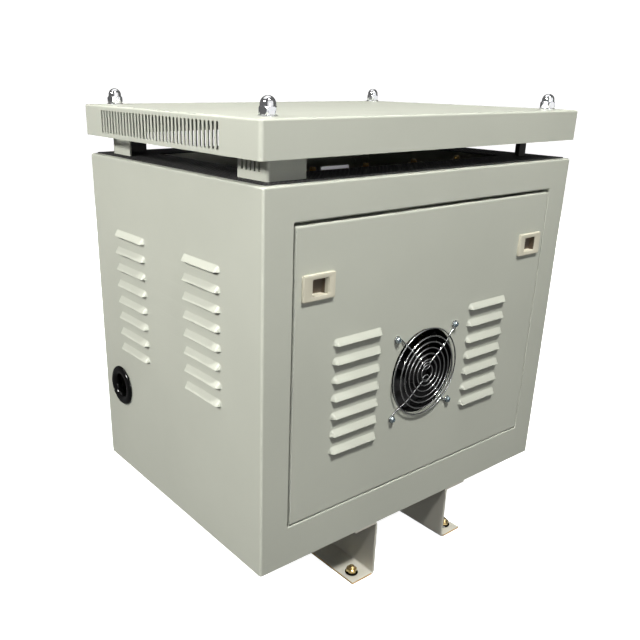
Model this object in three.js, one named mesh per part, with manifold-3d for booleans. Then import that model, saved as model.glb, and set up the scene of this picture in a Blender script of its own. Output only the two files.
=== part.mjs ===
// Dry-type three-phase autotransformer in a fan-cooled sheet-metal cabinet on two channel feet.
// Millimetres. X runs left to right seen from the front, Y from front to back, Z up.
// The origin is the centre of the footprint, on the surface that the feet stand on.
import * as THREE from 'three';
import { mergeVertices } from 'three/addons/utils/BufferGeometryUtils.js';
import Module from 'manifold-3d';

const wasm = await Module();
wasm.setup();

// ---------------------------------------------------------------- driving dimensions
const WIDTH = 519;            // cabinet, side to side
const DEPTH = 385;            // cabinet, front to back
const HEIGHT = 445;           // cabinet without feet and roof
const FOOT_HEIGHT = 82;
const SHEET = 2;
const GAP = 0.3;              // clearance where two pieces meet but don't carry each other
const GUARD_PROUD = 8;        // how far the fan guard stands out of the front
const HOOD_PROUD = 5;         // how far a louvre hood stands out of its sheet

const LEFT = -WIDTH / 2;
const RIGHT = WIDTH / 2;
const FRONT = -DEPTH / 2 + (GUARD_PROUD - HOOD_PROUD) / 2;
const BACK = FRONT + DEPTH;
const MIDDLE_Y = (FRONT + BACK) / 2;
const BASE = FOOT_HEIGHT;
const TOP = BASE + HEIGHT;

// front opening and the lift-off panel in it
const OPENING_HALF = 220;
const SILL = 52;              // height of the rail under the opening
const HEADER = 38;            // height of the rail over the opening
const PANEL_HALF = 219;
const PANEL_BASE = BASE + SILL + 1;
const PANEL_HEIGHT = 350.5;
const PANEL_FLANGE = 15.7;    // depth of the panel's folded edges, from its front face

// roof
const ROOF_OVERHANG = 3.5;
const ROOF_GAP = 24;
const ROOF_HEIGHT = 38;
const ROOF_BASE = TOP + ROOF_GAP;
const ROOF_TOP = ROOF_BASE + ROOF_HEIGHT;
const STUD_INSET_X = 26.7;
const STUD_INSET_Y = 28.9;
const STUD_RADIUS = 5;

// cooling fan, behind the panel, a little left of its middle
const FAN_X = -5.7;
const FAN_Z = BASE + 198.3;
const FAN_HOLE = 56;          // radius of the hole in the panel
const FAN_PITCH = 105;        // side of the square of fixing screws
const FAN_DEPTH = 38;

// latches
const LATCH_X = 186.5;
const LATCH_Z = BASE + 337;

// three-legged core
const CORE_Y = 15;
const CORE_BASE = BASE + 36;
const LEG_PITCH = 132;
const LEG_WIDTH = 50;
const LEG_DEPTH = 76;
const WINDOW_HEIGHT = 230;
const YOKE_HEIGHT = 50;
const LEG_BASE = CORE_BASE + YOKE_HEIGHT;
const LEG_TOP = LEG_BASE + WINDOW_HEIGHT;
const CLAMP_HALF = 170;

// terminal board under the opening of the top
const BOARD_BASE = TOP - 16;
const BOARD_THICK = 6;
const BOARD_Y = FRONT + 85;
const TERMINAL_PITCH = 84;

// ---------------------------------------------------------------- materials
function material(color, roughness, metalness) {
  return new THREE.MeshStandardMaterial({ color, roughness, metalness });
}

const PAINT = material(0xb4b5a8, 0.5, 0.1);
const BLACK_STEEL = material(0x24241f, 0.5, 0.3);
const FOOT_PAINT = material(0x8d8a7c, 0.55, 0.2);
const CHROME = material(0xd8dade, 0.15, 1);
const ZINC = material(0xa9b4bb, 0.3, 1);
const YELLOW_ZINC = material(0xc9a45c, 0.35, 1);
const BRASS = material(0xc49b52, 0.3, 1);
const IVORY = material(0xd8d2b8, 0.45, 0);
const BLACK_PLASTIC = material(0x111112, 0.45, 0);
const RUBBER = material(0x0e0e0e, 0.35, 0);
const LAMINATION = material(0x4c4f54, 0.55, 0.7);
const VARNISH = material(0x7a4a2a, 0.45, 0.1);
const BOARD = material(0xe4dfcf, 0.5, 0);

// ---------------------------------------------------------------- solids
// Turns any closed geometry into a solid, with its faces pointing out.
function solid(geometry) {
  const bare = geometry.clone();
  bare.deleteAttribute('normal');
  bare.deleteAttribute('uv');
  const merged = mergeVertices(bare, 1e-4);
  const at = merged.getAttribute('position').array;
  const triangles = [];
  let volume = 0;
  for (let i = 0; i < merged.index.count; i += 3) {
    const [a, b, c] = [0, 1, 2].map((k) => merged.index.getX(i + k));
    if (a === b || b === c || c === a) continue;
    triangles.push([a, b, c]);
    const [p, q, r] = [a, b, c].map((v) => new THREE.Vector3().fromArray(at, 3 * v));
    volume += p.dot(q.cross(r));
  }
  const facing = volume < 0 ? triangles.map(([a, b, c]) => [a, c, b]) : triangles;
  const vertProperties = new Float32Array(at);
  const triVerts = new Uint32Array(facing.flat());
  return new wasm.Manifold(new wasm.Mesh({ numProp: 3, vertProperties, triVerts }));
}

function joined(pieces) {
  return pieces.reduce((whole, piece) => whole.add(piece));
}

function cut(body, tools) {
  return tools.reduce((rest, tool) => rest.subtract(tool), body);
}

// A block between two values on each axis, given in either order.
function block(xs, ys, zs) {
  const size = [xs, ys, zs].map(([a, b]) => Math.abs(b - a));
  const middle = [xs, ys, zs].map(([a, b]) => (a + b) / 2);
  return solid(new THREE.BoxGeometry(...size).translate(...middle));
}

function outline(points) {
  return new THREE.Shape(points.map(([u, v]) => new THREE.Vector2(u, v)));
}

// An outline drawn in two of the axes and drawn out along the third.
const DRAWN = {
  x: [[0, 1, 0], [0, 0, 1], [1, 0, 0]],
  y: [[1, 0, 0], [0, 0, 1], [0, -1, 0]],
  z: [[1, 0, 0], [0, 1, 0], [0, 0, 1]],
};

function extruded(shape, axis, from, to, curveSegments = 12) {
  const basis = new THREE.Matrix4().makeBasis(...DRAWN[axis].map((v) => new THREE.Vector3(...v)));
  const start = axis === 'y' ? to : from;
  const flat = new THREE.ExtrudeGeometry(shape, { depth: to - from, bevelEnabled: false, curveSegments });
  const offset = { x: [start, 0, 0], y: [0, start, 0], z: [0, 0, start] }[axis];
  return solid(flat.applyMatrix4(basis).translate(...offset));
}

// A round piece about the Z axis. Each point is [radius, height].
function turned(points, segments = 24) {
  const profile = points.map(([r, z]) => new THREE.Vector2(r, z));
  return solid(new THREE.LatheGeometry(profile, segments).rotateX(Math.PI / 2));
}

function rod(radius, from, to, segments = 24) {
  return turned([[0, from], [radius, from], [radius, to], [0, to]], segments);
}

function hexagon(acrossFlats, from, to) {
  const radius = acrossFlats / Math.sqrt(3);
  const prism = new THREE.CylinderGeometry(radius, radius, to - from, 6);
  return solid(prism.rotateX(Math.PI / 2).translate(0, 0, (from + to) / 2));
}

function roundedRectangle(halfWidth, halfHeight, radius) {
  const shape = new THREE.Shape();
  const corners = [[1, 1, 0], [-1, 1, 1], [-1, -1, 2], [1, -1, 3]];
  for (const [sx, sy, quarter] of corners) {
    const start = quarter * Math.PI / 2;
    const [cx, cy] = [sx * (halfWidth - radius), sy * (halfHeight - radius)];
    shape.absarc(cx, cy, radius, start, start + Math.PI / 2);
  }
  return shape;
}

function circleHole(x, y, radius) {
  return new THREE.Path().absarc(x, y, radius, 0, 2 * Math.PI);
}

// ---------------------------------------------------------------- scene graph
const transformer = new THREE.Group();

function assembly(parent, position = [0, 0, 0]) {
  const group = new THREE.Group();
  group.position.set(...position);
  parent.add(group);
  return group;
}

function place(parent, name, body, finish, position = [0, 0, 0], turn = 0) {
  const { vertProperties, triVerts } = body.getMesh();
  const geometry = new THREE.BufferGeometry();
  geometry.setAttribute('position', new THREE.BufferAttribute(new Float32Array(vertProperties), 3));
  geometry.setIndex(new THREE.BufferAttribute(new Uint32Array(triVerts), 1));
  geometry.computeVertexNormals();
  const mesh = new THREE.Mesh(geometry, finish.clone());
  mesh.name = name;
  mesh.position.set(...position);
  mesh.rotation.z = turn;
  parent.add(mesh);
  return mesh;
}

const SIDES = [['left', -1], ['right', 1]];
const ENDS = [['front', -1], ['back', 1]];
const CORNERS = ENDS.flatMap(([end, sy]) => SIDES.map(([side, sx]) => [`${end}_${side}`, sx, sy]));

// ---------------------------------------------------------------- louvred sheet
// A sheet with its outer face on y = 0, looking towards -Y, its lower edge on z = 0.
// Each louvre is a pressed hood that opens downwards over a slot. edge is its top edge.
const LOUVRE_LENGTH = 78;
const LOUVRE_PITCH = 22.5;
const HOOD_HEIGHT = 9.5;
const HOOD_WALL = 1.2;

function louvreRows(first, count) {
  return Array.from({ length: count }, (_, i) => first - i * LOUVRE_PITCH);
}

function louvreTools(x, edge) {
  const half = LOUVRE_LENGTH / 2;
  const brow = -HOOD_PROUD + HOOD_WALL;
  const outer = [[0.5, 0.3], [-HOOD_PROUD, -4], [-HOOD_PROUD, -HOOD_HEIGHT], [0.5, -HOOD_HEIGHT]];
  const below = -HOOD_HEIGHT - 1;
  const inner = [[SHEET + 1, -1.5], [0, -1.5], [brow, -5], [brow, below], [SHEET + 1, below]];
  const lift = (points) => points.map(([y, z]) => [y, z + edge]);
  return {
    hood: extruded(outline(lift(outer)), 'x', x - half, x + half),
    mouth: extruded(outline(lift(inner)), 'x', x - half + HOOD_WALL, x + half - HOOD_WALL),
  };
}

function louvredSheet(sheet, columns, edges) {
  const louvres = columns.flatMap((x) => edges.map((edge) => louvreTools(x, edge)));
  const pressed = joined([sheet, ...louvres.map(({ hood }) => hood)]);
  return cut(pressed, louvres.map(({ mouth }) => mouth));
}

// ---------------------------------------------------------------- cabinet
const cabinet = assembly(transformer);
const SIDE_FIRST_EDGE = 354.4;
const SIDE_ROWS = 8;
const NEAR_COLUMN = 114.3;    // louvre columns on the sides, measured from the front
const FAR_COLUMN = 282.3;
const GROMMET_FROM_FRONT = 331.5;
const GROMMET_HEIGHT = 127.3;

function sidePanel(sx) {
  const half = DEPTH / 2 - SHEET - GAP;
  const columns = [NEAR_COLUMN, FAR_COLUMN].map((distance) => sx * (distance - DEPTH / 2));
  const sheet = block([-half, half], [0, SHEET], [0, HEIGHT]);
  const pressed = louvredSheet(sheet, columns, louvreRows(SIDE_FIRST_EDGE, SIDE_ROWS));
  if (sx > 0) return pressed;
  const hole = rod(24, -1, SHEET + 1, 20);
  const across = DEPTH / 2 - GROMMET_FROM_FRONT;
  return cut(pressed, [hole.rotate([90, 0, 0]).translate([across, SHEET, GROMMET_HEIGHT])]);
}

for (const [side, sx] of SIDES) {
  const position = [sx * RIGHT, MIDDLE_Y, BASE];
  place(cabinet, `${side}_side_panel`, sidePanel(sx), PAINT, position, sx * Math.PI / 2);
}

const backSheet = block([LEFT, RIGHT], [0, SHEET], [0, HEIGHT]);
const backPanel = louvredSheet(backSheet, [-117, 117], louvreRows(SIDE_FIRST_EDGE, SIDE_ROWS));
place(cabinet, 'back_panel', backPanel, PAINT, [0, BACK, BASE], Math.PI);

// A stile is the strip of sheet beside the opening. Behind it a return runs back to a lip that
// stops the panel, and a keeper hole in the return takes the latch bolt.
const RETURN_BACK = 18;
const RETURN_OUTER = 224;
const LIP_INNER = 208;
const KEEPER_HALF = 6;

function stile(sx) {
  const strip = block([sx * OPENING_HALF, sx * RIGHT], [FRONT, FRONT + SHEET], [BASE, TOP]);
  const fold = outline([
    [sx * (RETURN_OUTER - SHEET), FRONT + 1], [sx * RETURN_OUTER, FRONT + 1],
    [sx * RETURN_OUTER, FRONT + RETURN_BACK], [sx * LIP_INNER, FRONT + RETURN_BACK],
    [sx * LIP_INNER, FRONT + RETURN_BACK - SHEET],
    [sx * (RETURN_OUTER - SHEET), FRONT + RETURN_BACK - SHEET],
  ]);
  const lip = extruded(fold, 'z', BASE + SILL, TOP - HEADER);
  const keeper = block([sx * OPENING_HALF, sx * (RETURN_OUTER + 2)], [FRONT + 7.5, FRONT + 12],
    [LATCH_Z - KEEPER_HALF, LATCH_Z + KEEPER_HALF]);
  return cut(joined([strip, lip]), [keeper]);
}

for (const [side, sx] of SIDES) {
  place(cabinet, `${side}_stile`, stile(sx), PAINT);
}

const railSpan = [-OPENING_HALF, OPENING_HALF];
const railDepth = [FRONT, FRONT + SHEET];
place(cabinet, 'bottom_rail', block(railSpan, railDepth, [BASE, BASE + SILL]), PAINT);
place(cabinet, 'top_rail', block(railSpan, railDepth, [TOP - HEADER, TOP]), PAINT);

const INSIDE_X = [LEFT + SHEET + GAP, RIGHT - SHEET - GAP];
const INSIDE_Y = [FRONT + SHEET + GAP, BACK - SHEET - GAP];
place(cabinet, 'floor_pan', block(INSIDE_X, INSIDE_Y, [BASE, BASE + SHEET]), PAINT);

// The top: a flange round the edge, and on it a slotted grille with a large opening.
const FLANGE_WIDTH = 15;
const GRILLE_SHEET = 1.5;
const GRILLE_LOW = TOP + GAP;
const GRILLE_TOP = GRILLE_LOW + GRILLE_SHEET;
const GRILLE_INNER = 66;
const SLOT_WIDTH = 12;
const SLOT_PITCH = 30;

function insetBlock(insetX, insetY, zs) {
  return block([LEFT + insetX, RIGHT - insetX], [FRONT + insetY, BACK - insetY], zs);
}

const topFlange = cut(block(INSIDE_X, INSIDE_Y, [TOP - SHEET, TOP]),
  [insetBlock(FLANGE_WIDTH, FLANGE_WIDTH, [TOP - SHEET - 1, TOP + 1])]);
place(cabinet, 'top_flange', topFlange, PAINT);

function grilleSlots() {
  const zs = [GRILLE_LOW - 1, GRILLE_TOP + 1];
  const slots = [];
  for (let x = -6 * SLOT_PITCH; x <= 6 * SLOT_PITCH; x += SLOT_PITCH) {
    for (const ys of [[FRONT + 20, FRONT + GRILLE_INNER - 6], [BACK - GRILLE_INNER + 6, BACK - 20]]) {
      slots.push(block([x - SLOT_WIDTH / 2, x + SLOT_WIDTH / 2], ys, zs));
    }
  }
  for (let y = -3 * SLOT_PITCH; y <= 3 * SLOT_PITCH; y += SLOT_PITCH) {
    for (const sx of [-1, 1]) {
      const xs = [sx * (RIGHT - GRILLE_INNER + 6), sx * (RIGHT - 20)];
      slots.push(block(xs, [MIDDLE_Y + y - SLOT_WIDTH / 2, MIDDLE_Y + y + SLOT_WIDTH / 2], zs));
    }
  }
  return slots;
}

const grilleSheet = insetBlock(4, 4, [GRILLE_LOW, GRILLE_TOP]);
const grilleOpening = insetBlock(GRILLE_INNER, GRILLE_INNER, [GRILLE_LOW - 1, GRILLE_TOP + 1]);
place(cabinet, 'top_grille', cut(grilleSheet, [grilleOpening, ...grilleSlots()]), BLACK_STEEL);

// Rubber grommet: a flange on each side of the sheet, a neck through the hole, and an open bore.
const grommet = turned([
  [16, -SHEET - 3], [28.5, -SHEET - 3], [28.5, -SHEET - GAP], [23.5, -SHEET - GAP], [23.5, GAP],
  [28.5, GAP], [26, HOOD_PROUD], [18, HOOD_PROUD], [16, -SHEET - 3],
], 20);
place(cabinet, 'cable_grommet', grommet.rotate([0, -90, 0]), RUBBER,
  [LEFT, FRONT + GROMMET_FROM_FRONT, BASE + GROMMET_HEIGHT]);

// ---------------------------------------------------------------- roof, posts and acorn nuts
const roof = assembly(transformer);
const ROOF_SLOTS = 35;
const ROOF_SLOT_FIRST = 71.9;
const ROOF_SLOT_PITCH = 7.71;
const ROOF_SLOT_WIDTH = 4;

function roofCover() {
  const xs = [LEFT - ROOF_OVERHANG, RIGHT + ROOF_OVERHANG];
  const shell = block(xs, [FRONT, BACK], [ROOF_BASE, ROOF_TOP]);
  const hollow = block([xs[0] + SHEET, xs[1] - SHEET], [FRONT + SHEET, BACK - SHEET],
    [ROOF_BASE - 1, ROOF_TOP - SHEET]);
  const slots = Array.from({ length: ROOF_SLOTS }, (_, i) => {
    const y = FRONT + ROOF_SLOT_FIRST + i * ROOF_SLOT_PITCH;
    return block([xs[0] - 1, xs[1] + 1], [y - ROOF_SLOT_WIDTH / 2, y + ROOF_SLOT_WIDTH / 2],
      [ROOF_BASE + 4.5, ROOF_BASE + 32.5]);
  });
  const holes = CORNERS.map(([, sx, sy]) => rod(STUD_RADIUS + 1, ROOF_TOP - 5, ROOF_TOP + 5, 12)
    .translate([sx * (RIGHT - STUD_INSET_X), MIDDLE_Y + sy * (DEPTH / 2 - STUD_INSET_Y), 0]));
  return cut(shell, [hollow, ...slots, ...holes]);
}

place(roof, 'roof_cover', roofCover(), PAINT);

// A post is an angle standing on the grille. Its head plate reaches under the acorn nut and
// carries a collar and a threaded stud. Insets are measured from the cabinet's outer faces.
const POST_TOP = TOP + 48;
const POST_WALL = 3;
const POSTS = {
  front_left: { insetX: 18, insetY: 18, leg: 50, finish: PAINT },
  front_right: { insetX: 36, insetY: 45, leg: 17, finish: BLACK_STEEL },
  back_left: { insetX: 18, insetY: 32, leg: 48, finish: PAINT },
  back_right: { insetX: 36, insetY: 45, leg: 17, finish: BLACK_STEEL },
};

function post(sx, sy, { insetX, insetY, leg }) {
  const x = (inset) => sx * (RIGHT - inset);
  const y = (inset) => MIDDLE_Y + sy * (DEPTH / 2 - inset);
  const zs = [GRILLE_TOP, POST_TOP];
  const alongSide = block([x(insetX), x(insetX + POST_WALL)], [y(insetY), y(insetY + leg)], zs);
  const alongEnd = block([x(insetX), x(insetX + leg)], [y(insetY), y(insetY + POST_WALL)], zs);
  const headX = [x(Math.min(insetX, 17)), x(insetX + leg)];
  const headY = [y(Math.min(insetY, 18)), y(insetY + leg)];
  const head = block(headX, headY, [POST_TOP - POST_WALL, POST_TOP]);
  const stud = turned([
    [0, POST_TOP - 1], [9, POST_TOP - 1],
    [9, ROOF_TOP - SHEET - GAP], [STUD_RADIUS, ROOF_TOP - SHEET - GAP],
    [STUD_RADIUS, ROOF_TOP + 14], [0, ROOF_TOP + 14],
  ], 12).translate([x(STUD_INSET_X), y(STUD_INSET_Y), 0]);
  return joined([alongSide, alongEnd, head, stud]);
}

function acornNut() {
  const washer = rod(10, 0, 1.6, 12);
  const hexBase = hexagon(17, 1.5, 10);
  const dome = turned([[0, 9], [7.9, 9], [7.9, 11.5], [6, 16.6], [2.6, 19.2], [0, 19.6]], 12);
  return cut(joined([washer, hexBase, dome]), [rod(STUD_RADIUS + 2 * GAP, -1, 16.5, 8)]);
}

for (const [corner, sx, sy] of CORNERS) {
  place(roof, `roof_post_${corner}`, post(sx, sy, POSTS[corner]), POSTS[corner].finish);
  place(roof, `acorn_nut_${corner}`, acornNut(), CHROME,
    [sx * (RIGHT - STUD_INSET_X), MIDDLE_Y + sy * (DEPTH / 2 - STUD_INSET_Y), ROOF_TOP]);
}

// ---------------------------------------------------------------- feet
// Each foot is a channel that runs front to back with its open side facing out.
const feet = assembly(transformer);
const CHANNEL_WEB = 68;       // inner face of the web, from the middle of the cabinet
const CHANNEL_WIDTH = 40;
const CHANNEL_WALL = 3;
const CHANNEL_BEND = 5;         // outer radius where the web meets a flange
const FOOT_BOLT_INSET = 17;
const FOOT_BOLT_X = CHANNEL_WEB + 26;

function footChannel(sx) {
  const [inner, tip] = [CHANNEL_WEB, CHANNEL_WEB + CHANNEL_WIDTH];
  const shape = new THREE.Shape();
  shape.moveTo(tip, 0);
  shape.lineTo(tip, CHANNEL_WALL);
  shape.lineTo(inner + CHANNEL_WALL, CHANNEL_WALL);
  shape.lineTo(inner + CHANNEL_WALL, FOOT_HEIGHT - CHANNEL_WALL);
  shape.lineTo(tip, FOOT_HEIGHT - CHANNEL_WALL);
  shape.lineTo(tip, FOOT_HEIGHT);
  shape.lineTo(inner + CHANNEL_BEND, FOOT_HEIGHT);
  shape.absarc(inner + CHANNEL_BEND, FOOT_HEIGHT - CHANNEL_BEND, CHANNEL_BEND, Math.PI / 2, Math.PI);
  shape.absarc(inner + CHANNEL_BEND, CHANNEL_BEND, CHANNEL_BEND, Math.PI, 1.5 * Math.PI);
  const channel = extruded(shape, 'y', FRONT, BACK, 4);
  const countersink = turned([[0, -1], [7, -1], [7, 0.6], [4.6, 2.4], [4.6, 4], [0, 4]], 12);
  const holes = [FRONT + FOOT_BOLT_INSET, BACK - FOOT_BOLT_INSET]
    .map((y) => countersink.translate([FOOT_BOLT_X, y, 0]));
  const drilled = cut(channel, holes);
  return sx > 0 ? drilled : drilled.mirror([1, 0, 0]);
}

const footBolt = turned([[0, GAP], [6.4, GAP], [6.4, 0.7], [4, 2.2], [4, 17], [0, 17]], 12);

function footNut() {
  const washer = rod(9, 0, 1.6, 12);
  return cut(joined([washer, hexagon(13, 1.5, 8)]), [rod(4 + 2 * GAP, -1, 9, 12)]);
}

for (const [side, sx] of SIDES) {
  place(feet, `foot_channel_${side}`, footChannel(sx), FOOT_PAINT);
  for (const [end, sy] of ENDS) {
    const spot = [sx * FOOT_BOLT_X, MIDDLE_Y + sy * (DEPTH / 2 - FOOT_BOLT_INSET)];
    place(feet, `foot_bolt_${end}_${side}`, footBolt, YELLOW_ZINC, [...spot, 0]);
    place(feet, `foot_nut_${end}_${side}`, footNut(), YELLOW_ZINC, [...spot, CHANNEL_WALL]);
  }
}

// ---------------------------------------------------------------- core, clamps and coils
const core = assembly(transformer, [0, CORE_Y, 0]);
const YOKE_HALF = LEG_PITCH + LEG_WIDTH / 2;
const coreDepth = [-LEG_DEPTH / 2, LEG_DEPTH / 2];
const yokeSpan = [-YOKE_HALF, YOKE_HALF];
const bottomYoke = block(yokeSpan, coreDepth, [CORE_BASE, LEG_BASE]);
const topYoke = block(yokeSpan, coreDepth, [LEG_TOP, LEG_TOP + YOKE_HEIGHT]);
place(core, 'core_bottom_yoke', bottomYoke, LAMINATION);
place(core, 'core_top_yoke', topYoke, LAMINATION);

function coil() {
  const shape = roundedRectangle(62, 75, 22);
  shape.holes.push(roundedRectangle(LEG_WIDTH / 2 + 2, LEG_DEPTH / 2 + 2, 3));
  return extruded(shape, 'z', LEG_BASE + 8, LEG_TOP - 8, 3);
}

const leg = block([-LEG_WIDTH / 2, LEG_WIDTH / 2], coreDepth, [LEG_BASE, LEG_TOP]);
['a', 'b', 'c'].forEach((phase, i) => {
  const x = (i - 1) * LEG_PITCH;
  place(core, `core_leg_${phase}`, leg, LAMINATION, [x, 0, 0]);
  place(core, `coil_${phase}`, coil(), VARNISH, [x, 0, 0]);
});

// Angle irons grip each yoke. The lower pair stands on the floor pan.
const CLAMP_WALL = 4;
const CLAMP_FLANGE = 34;

function clamp(sy, plateZ, flangeZ) {
  const face = LEG_DEPTH / 2 + GAP;
  const plate = block([-CLAMP_HALF, CLAMP_HALF], [sy * face, sy * (face + CLAMP_WALL)], plateZ);
  const flange = block([-CLAMP_HALF, CLAMP_HALF], [sy * face, sy * (face + CLAMP_FLANGE)], flangeZ);
  return joined([plate, flange]);
}

const CLAMP_FLOOR = BASE + SHEET;
const CLAMP_TOP = LEG_TOP + YOKE_HEIGHT + 8;
for (const [end, sy] of ENDS) {
  const bottom = clamp(sy, [CLAMP_FLOOR, LEG_BASE + 4], [CLAMP_FLOOR, CLAMP_FLOOR + CLAMP_WALL]);
  const top = clamp(sy, [LEG_TOP - 4, CLAMP_TOP], [CLAMP_TOP - CLAMP_WALL, CLAMP_TOP]);
  place(core, `yoke_clamp_bottom_${end}`, bottom, BLACK_STEEL);
  place(core, `yoke_clamp_top_${end}`, top, BLACK_STEEL);
}

// ---------------------------------------------------------------- terminals
const terminals = assembly(transformer);
const TERMINALS = 4;
const terminalXs = Array.from({ length: TERMINALS }, (_, i) => (i - (TERMINALS - 1) / 2) * TERMINAL_PITCH);
const boardSheet = block([-165, 165], [BOARD_Y - 20, BOARD_Y + 20], [BOARD_BASE, BOARD_BASE + BOARD_THICK]);
const boardHoles = terminalXs.map((x) => rod(4.8, BOARD_BASE - 1, BOARD_BASE + BOARD_THICK + 1, 8)
  .translate([x, BOARD_Y, 0]));
place(terminals, 'terminal_board', cut(boardSheet, boardHoles), BOARD);

// The bracket bolts to the front top clamp and holds the board forward on two arms.
const BRACKET_Y = CORE_Y - LEG_DEPTH / 2 - CLAMP_FLANGE;
const foot = block([-150, 150], [BRACKET_Y + 2, BRACKET_Y + 22], [CLAMP_TOP, CLAMP_TOP + 3]);
const arms = SIDES.flatMap(([, sx]) => [
  block([sx * 134, sx * 150], [BRACKET_Y + 2, BRACKET_Y + 5], [CLAMP_TOP + 1, BOARD_BASE - 1]),
  block([sx * 134, sx * 150], [BOARD_Y - 18, BRACKET_Y + 5], [BOARD_BASE - 3, BOARD_BASE]),
]);
place(terminals, 'terminal_bracket', joined([foot, ...arms]), BLACK_STEEL);

const terminalStud = turned([
  [0, -12], [4, -12], [4, -6.3], [7.5, -6.3], [7.5, -GAP], [4, -GAP], [4, BOARD_THICK + GAP],
  [7.5, BOARD_THICK + GAP], [7.5, BOARD_THICK + 6.5], [4, BOARD_THICK + 6.5], [4, 19], [0, 19],
], 8);
terminalXs.forEach((x, i) => {
  place(terminals, `terminal_stud_${i + 1}`, terminalStud, BRASS, [x, BOARD_Y, BOARD_BASE]);
});

// ---------------------------------------------------------------- lift-off front panel
// Local frame: the outer face is y = 0 and the lower edge is z = 0.
const panel = assembly(transformer, [0, FRONT, 0]);
const PANEL_FIRST_EDGE = BASE + 272.8;
const PANEL_ROWS = 7;
const LOUVRE_OFFSET = 117;
const TAB_DROP = 12;
const TAB_X = 150;

function panelTray() {
  const zs = [PANEL_BASE, PANEL_BASE + PANEL_HEIGHT];
  const tray = cut(block([-PANEL_HALF, PANEL_HALF], [0, PANEL_FLANGE], zs), [
    block([-PANEL_HALF + SHEET, PANEL_HALF - SHEET], [SHEET, PANEL_FLANGE + 1],
      [zs[0] + SHEET, zs[1] - SHEET]),
  ]);
  const tabs = [-TAB_X, TAB_X].map((x) => block([x - 20, x + 20], [SHEET + GAP, 2 * SHEET + GAP],
    [PANEL_BASE - TAB_DROP, PANEL_BASE + 1]));
  return joined([tray, ...tabs]);
}

function alongY(body, x, z) {
  return body.rotate([-90, 0, 0]).translate([x, 0, z]);
}

const fanScrewSpots = [[-1, 1], [1, 1], [-1, -1], [1, -1]]
  .map(([sx, sz]) => [FAN_X + sx * FAN_PITCH / 2, FAN_Z + sz * FAN_PITCH / 2]);

function frontPanel() {
  const columns = [FAN_X - LOUVRE_OFFSET, FAN_X + LOUVRE_OFFSET];
  const pressed = louvredSheet(panelTray(), columns, louvreRows(PANEL_FIRST_EDGE, PANEL_ROWS));
  const fanHole = alongY(rod(FAN_HOLE, -1, SHEET + 1, 32), FAN_X, FAN_Z);
  const screwHoles = fanScrewSpots.map(([x, z]) => alongY(rod(2.8, -1, SHEET + 1, 8), x, z));
  const latchCuts = SIDES.flatMap(([, sx]) => [
    block([sx * LATCH_X - 20.5, sx * LATCH_X + 20.5], [-1, SHEET + 1], [LATCH_Z - 13, LATCH_Z + 13]),
    block([sx * (PANEL_HALF - SHEET - 1), sx * (PANEL_HALF + 1)], [7.9, 11.6],
      [LATCH_Z - 5.2, LATCH_Z + 5.2]),
  ]);
  return cut(pressed, [fanHole, ...screwHoles, ...latchCuts]);
}

place(panel, 'front_panel', frontPanel(), PAINT);

// ---------------------------------------------------------------- latches
// Each latch is a cup with a framed window. The slider's finger ramp stands in the window and
// its bolt runs outwards through the cup's side. a is measured outwards from the cup's middle.
const POCKET = { inner: -12.9, outer: 9.8, half: 9, floor: 8.2 };
const BOLT = { inner: -12.6, tip: 32, from: 8.5, to: 11, half: 4.5 };

function latchParts(sx) {
  const centre = sx * LATCH_X;
  const span = (a, b) => [centre + sx * a, centre + sx * b];
  const tall = (half) => [LATCH_Z - half, LATCH_Z + half];
  const bezel = block(span(-22.25, 22.25), [-3.5, 0], tall(14.5));
  const cup = block(span(-20, 20), [-1, 13], tall(12.5));
  const pocket = block(span(POCKET.inner, POCKET.outer), [-5, POCKET.floor + 1], tall(POCKET.half));
  const channel = block(span(POCKET.inner, 21), [POCKET.floor, BOLT.to + GAP], tall(BOLT.half + 0.4));
  const floorHalf = [POCKET.half - 3.6, POCKET.half + 1];
  const floors = [1, -1].map((sz) => block(span(POCKET.inner - 1, POCKET.outer + 1),
    [POCKET.floor, BOLT.to + 1], floorHalf.map((half) => LATCH_Z + sz * half)));
  const body = joined([cut(joined([bezel, cup]), [pocket, channel]), ...floors]);
  const rampShape = outline([[-12.6, -1.5], [-10.4, -1.5], [-7.6, 3], [-6.2, 7.9], [-12.6, 7.9]]
    .map(([a, y]) => [centre + sx * a, y]));
  const ramp = extruded(rampShape, 'z', ...tall(POCKET.half - 0.4));
  const stem = block(span(BOLT.inner, -7), [7, 9], tall(BOLT.half));
  const bolt = block(span(BOLT.inner, BOLT.tip), [BOLT.from, BOLT.to], tall(BOLT.half));
  return { body, slider: joined([ramp, stem, bolt]) };
}

for (const [side, sx] of SIDES) {
  const { body, slider } = latchParts(sx);
  place(panel, `latch_cup_${side}`, body, IVORY);
  place(panel, `latch_slider_${side}`, slider, IVORY);
}

// ---------------------------------------------------------------- fan
const FRAME_HALF = 59.5;
const FAN_BORE = 57;
const MOUNT_DEPTH = 6;        // thickness of the spokes that hold the motor, at the back
const HUB_RADIUS = 20;
const HUB_SPAN = [7, 29];     // rotor hub, behind the front face of the panel
const BLADES = 7;

const fan = assembly(panel, [FAN_X, 0, FAN_Z]);

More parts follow.
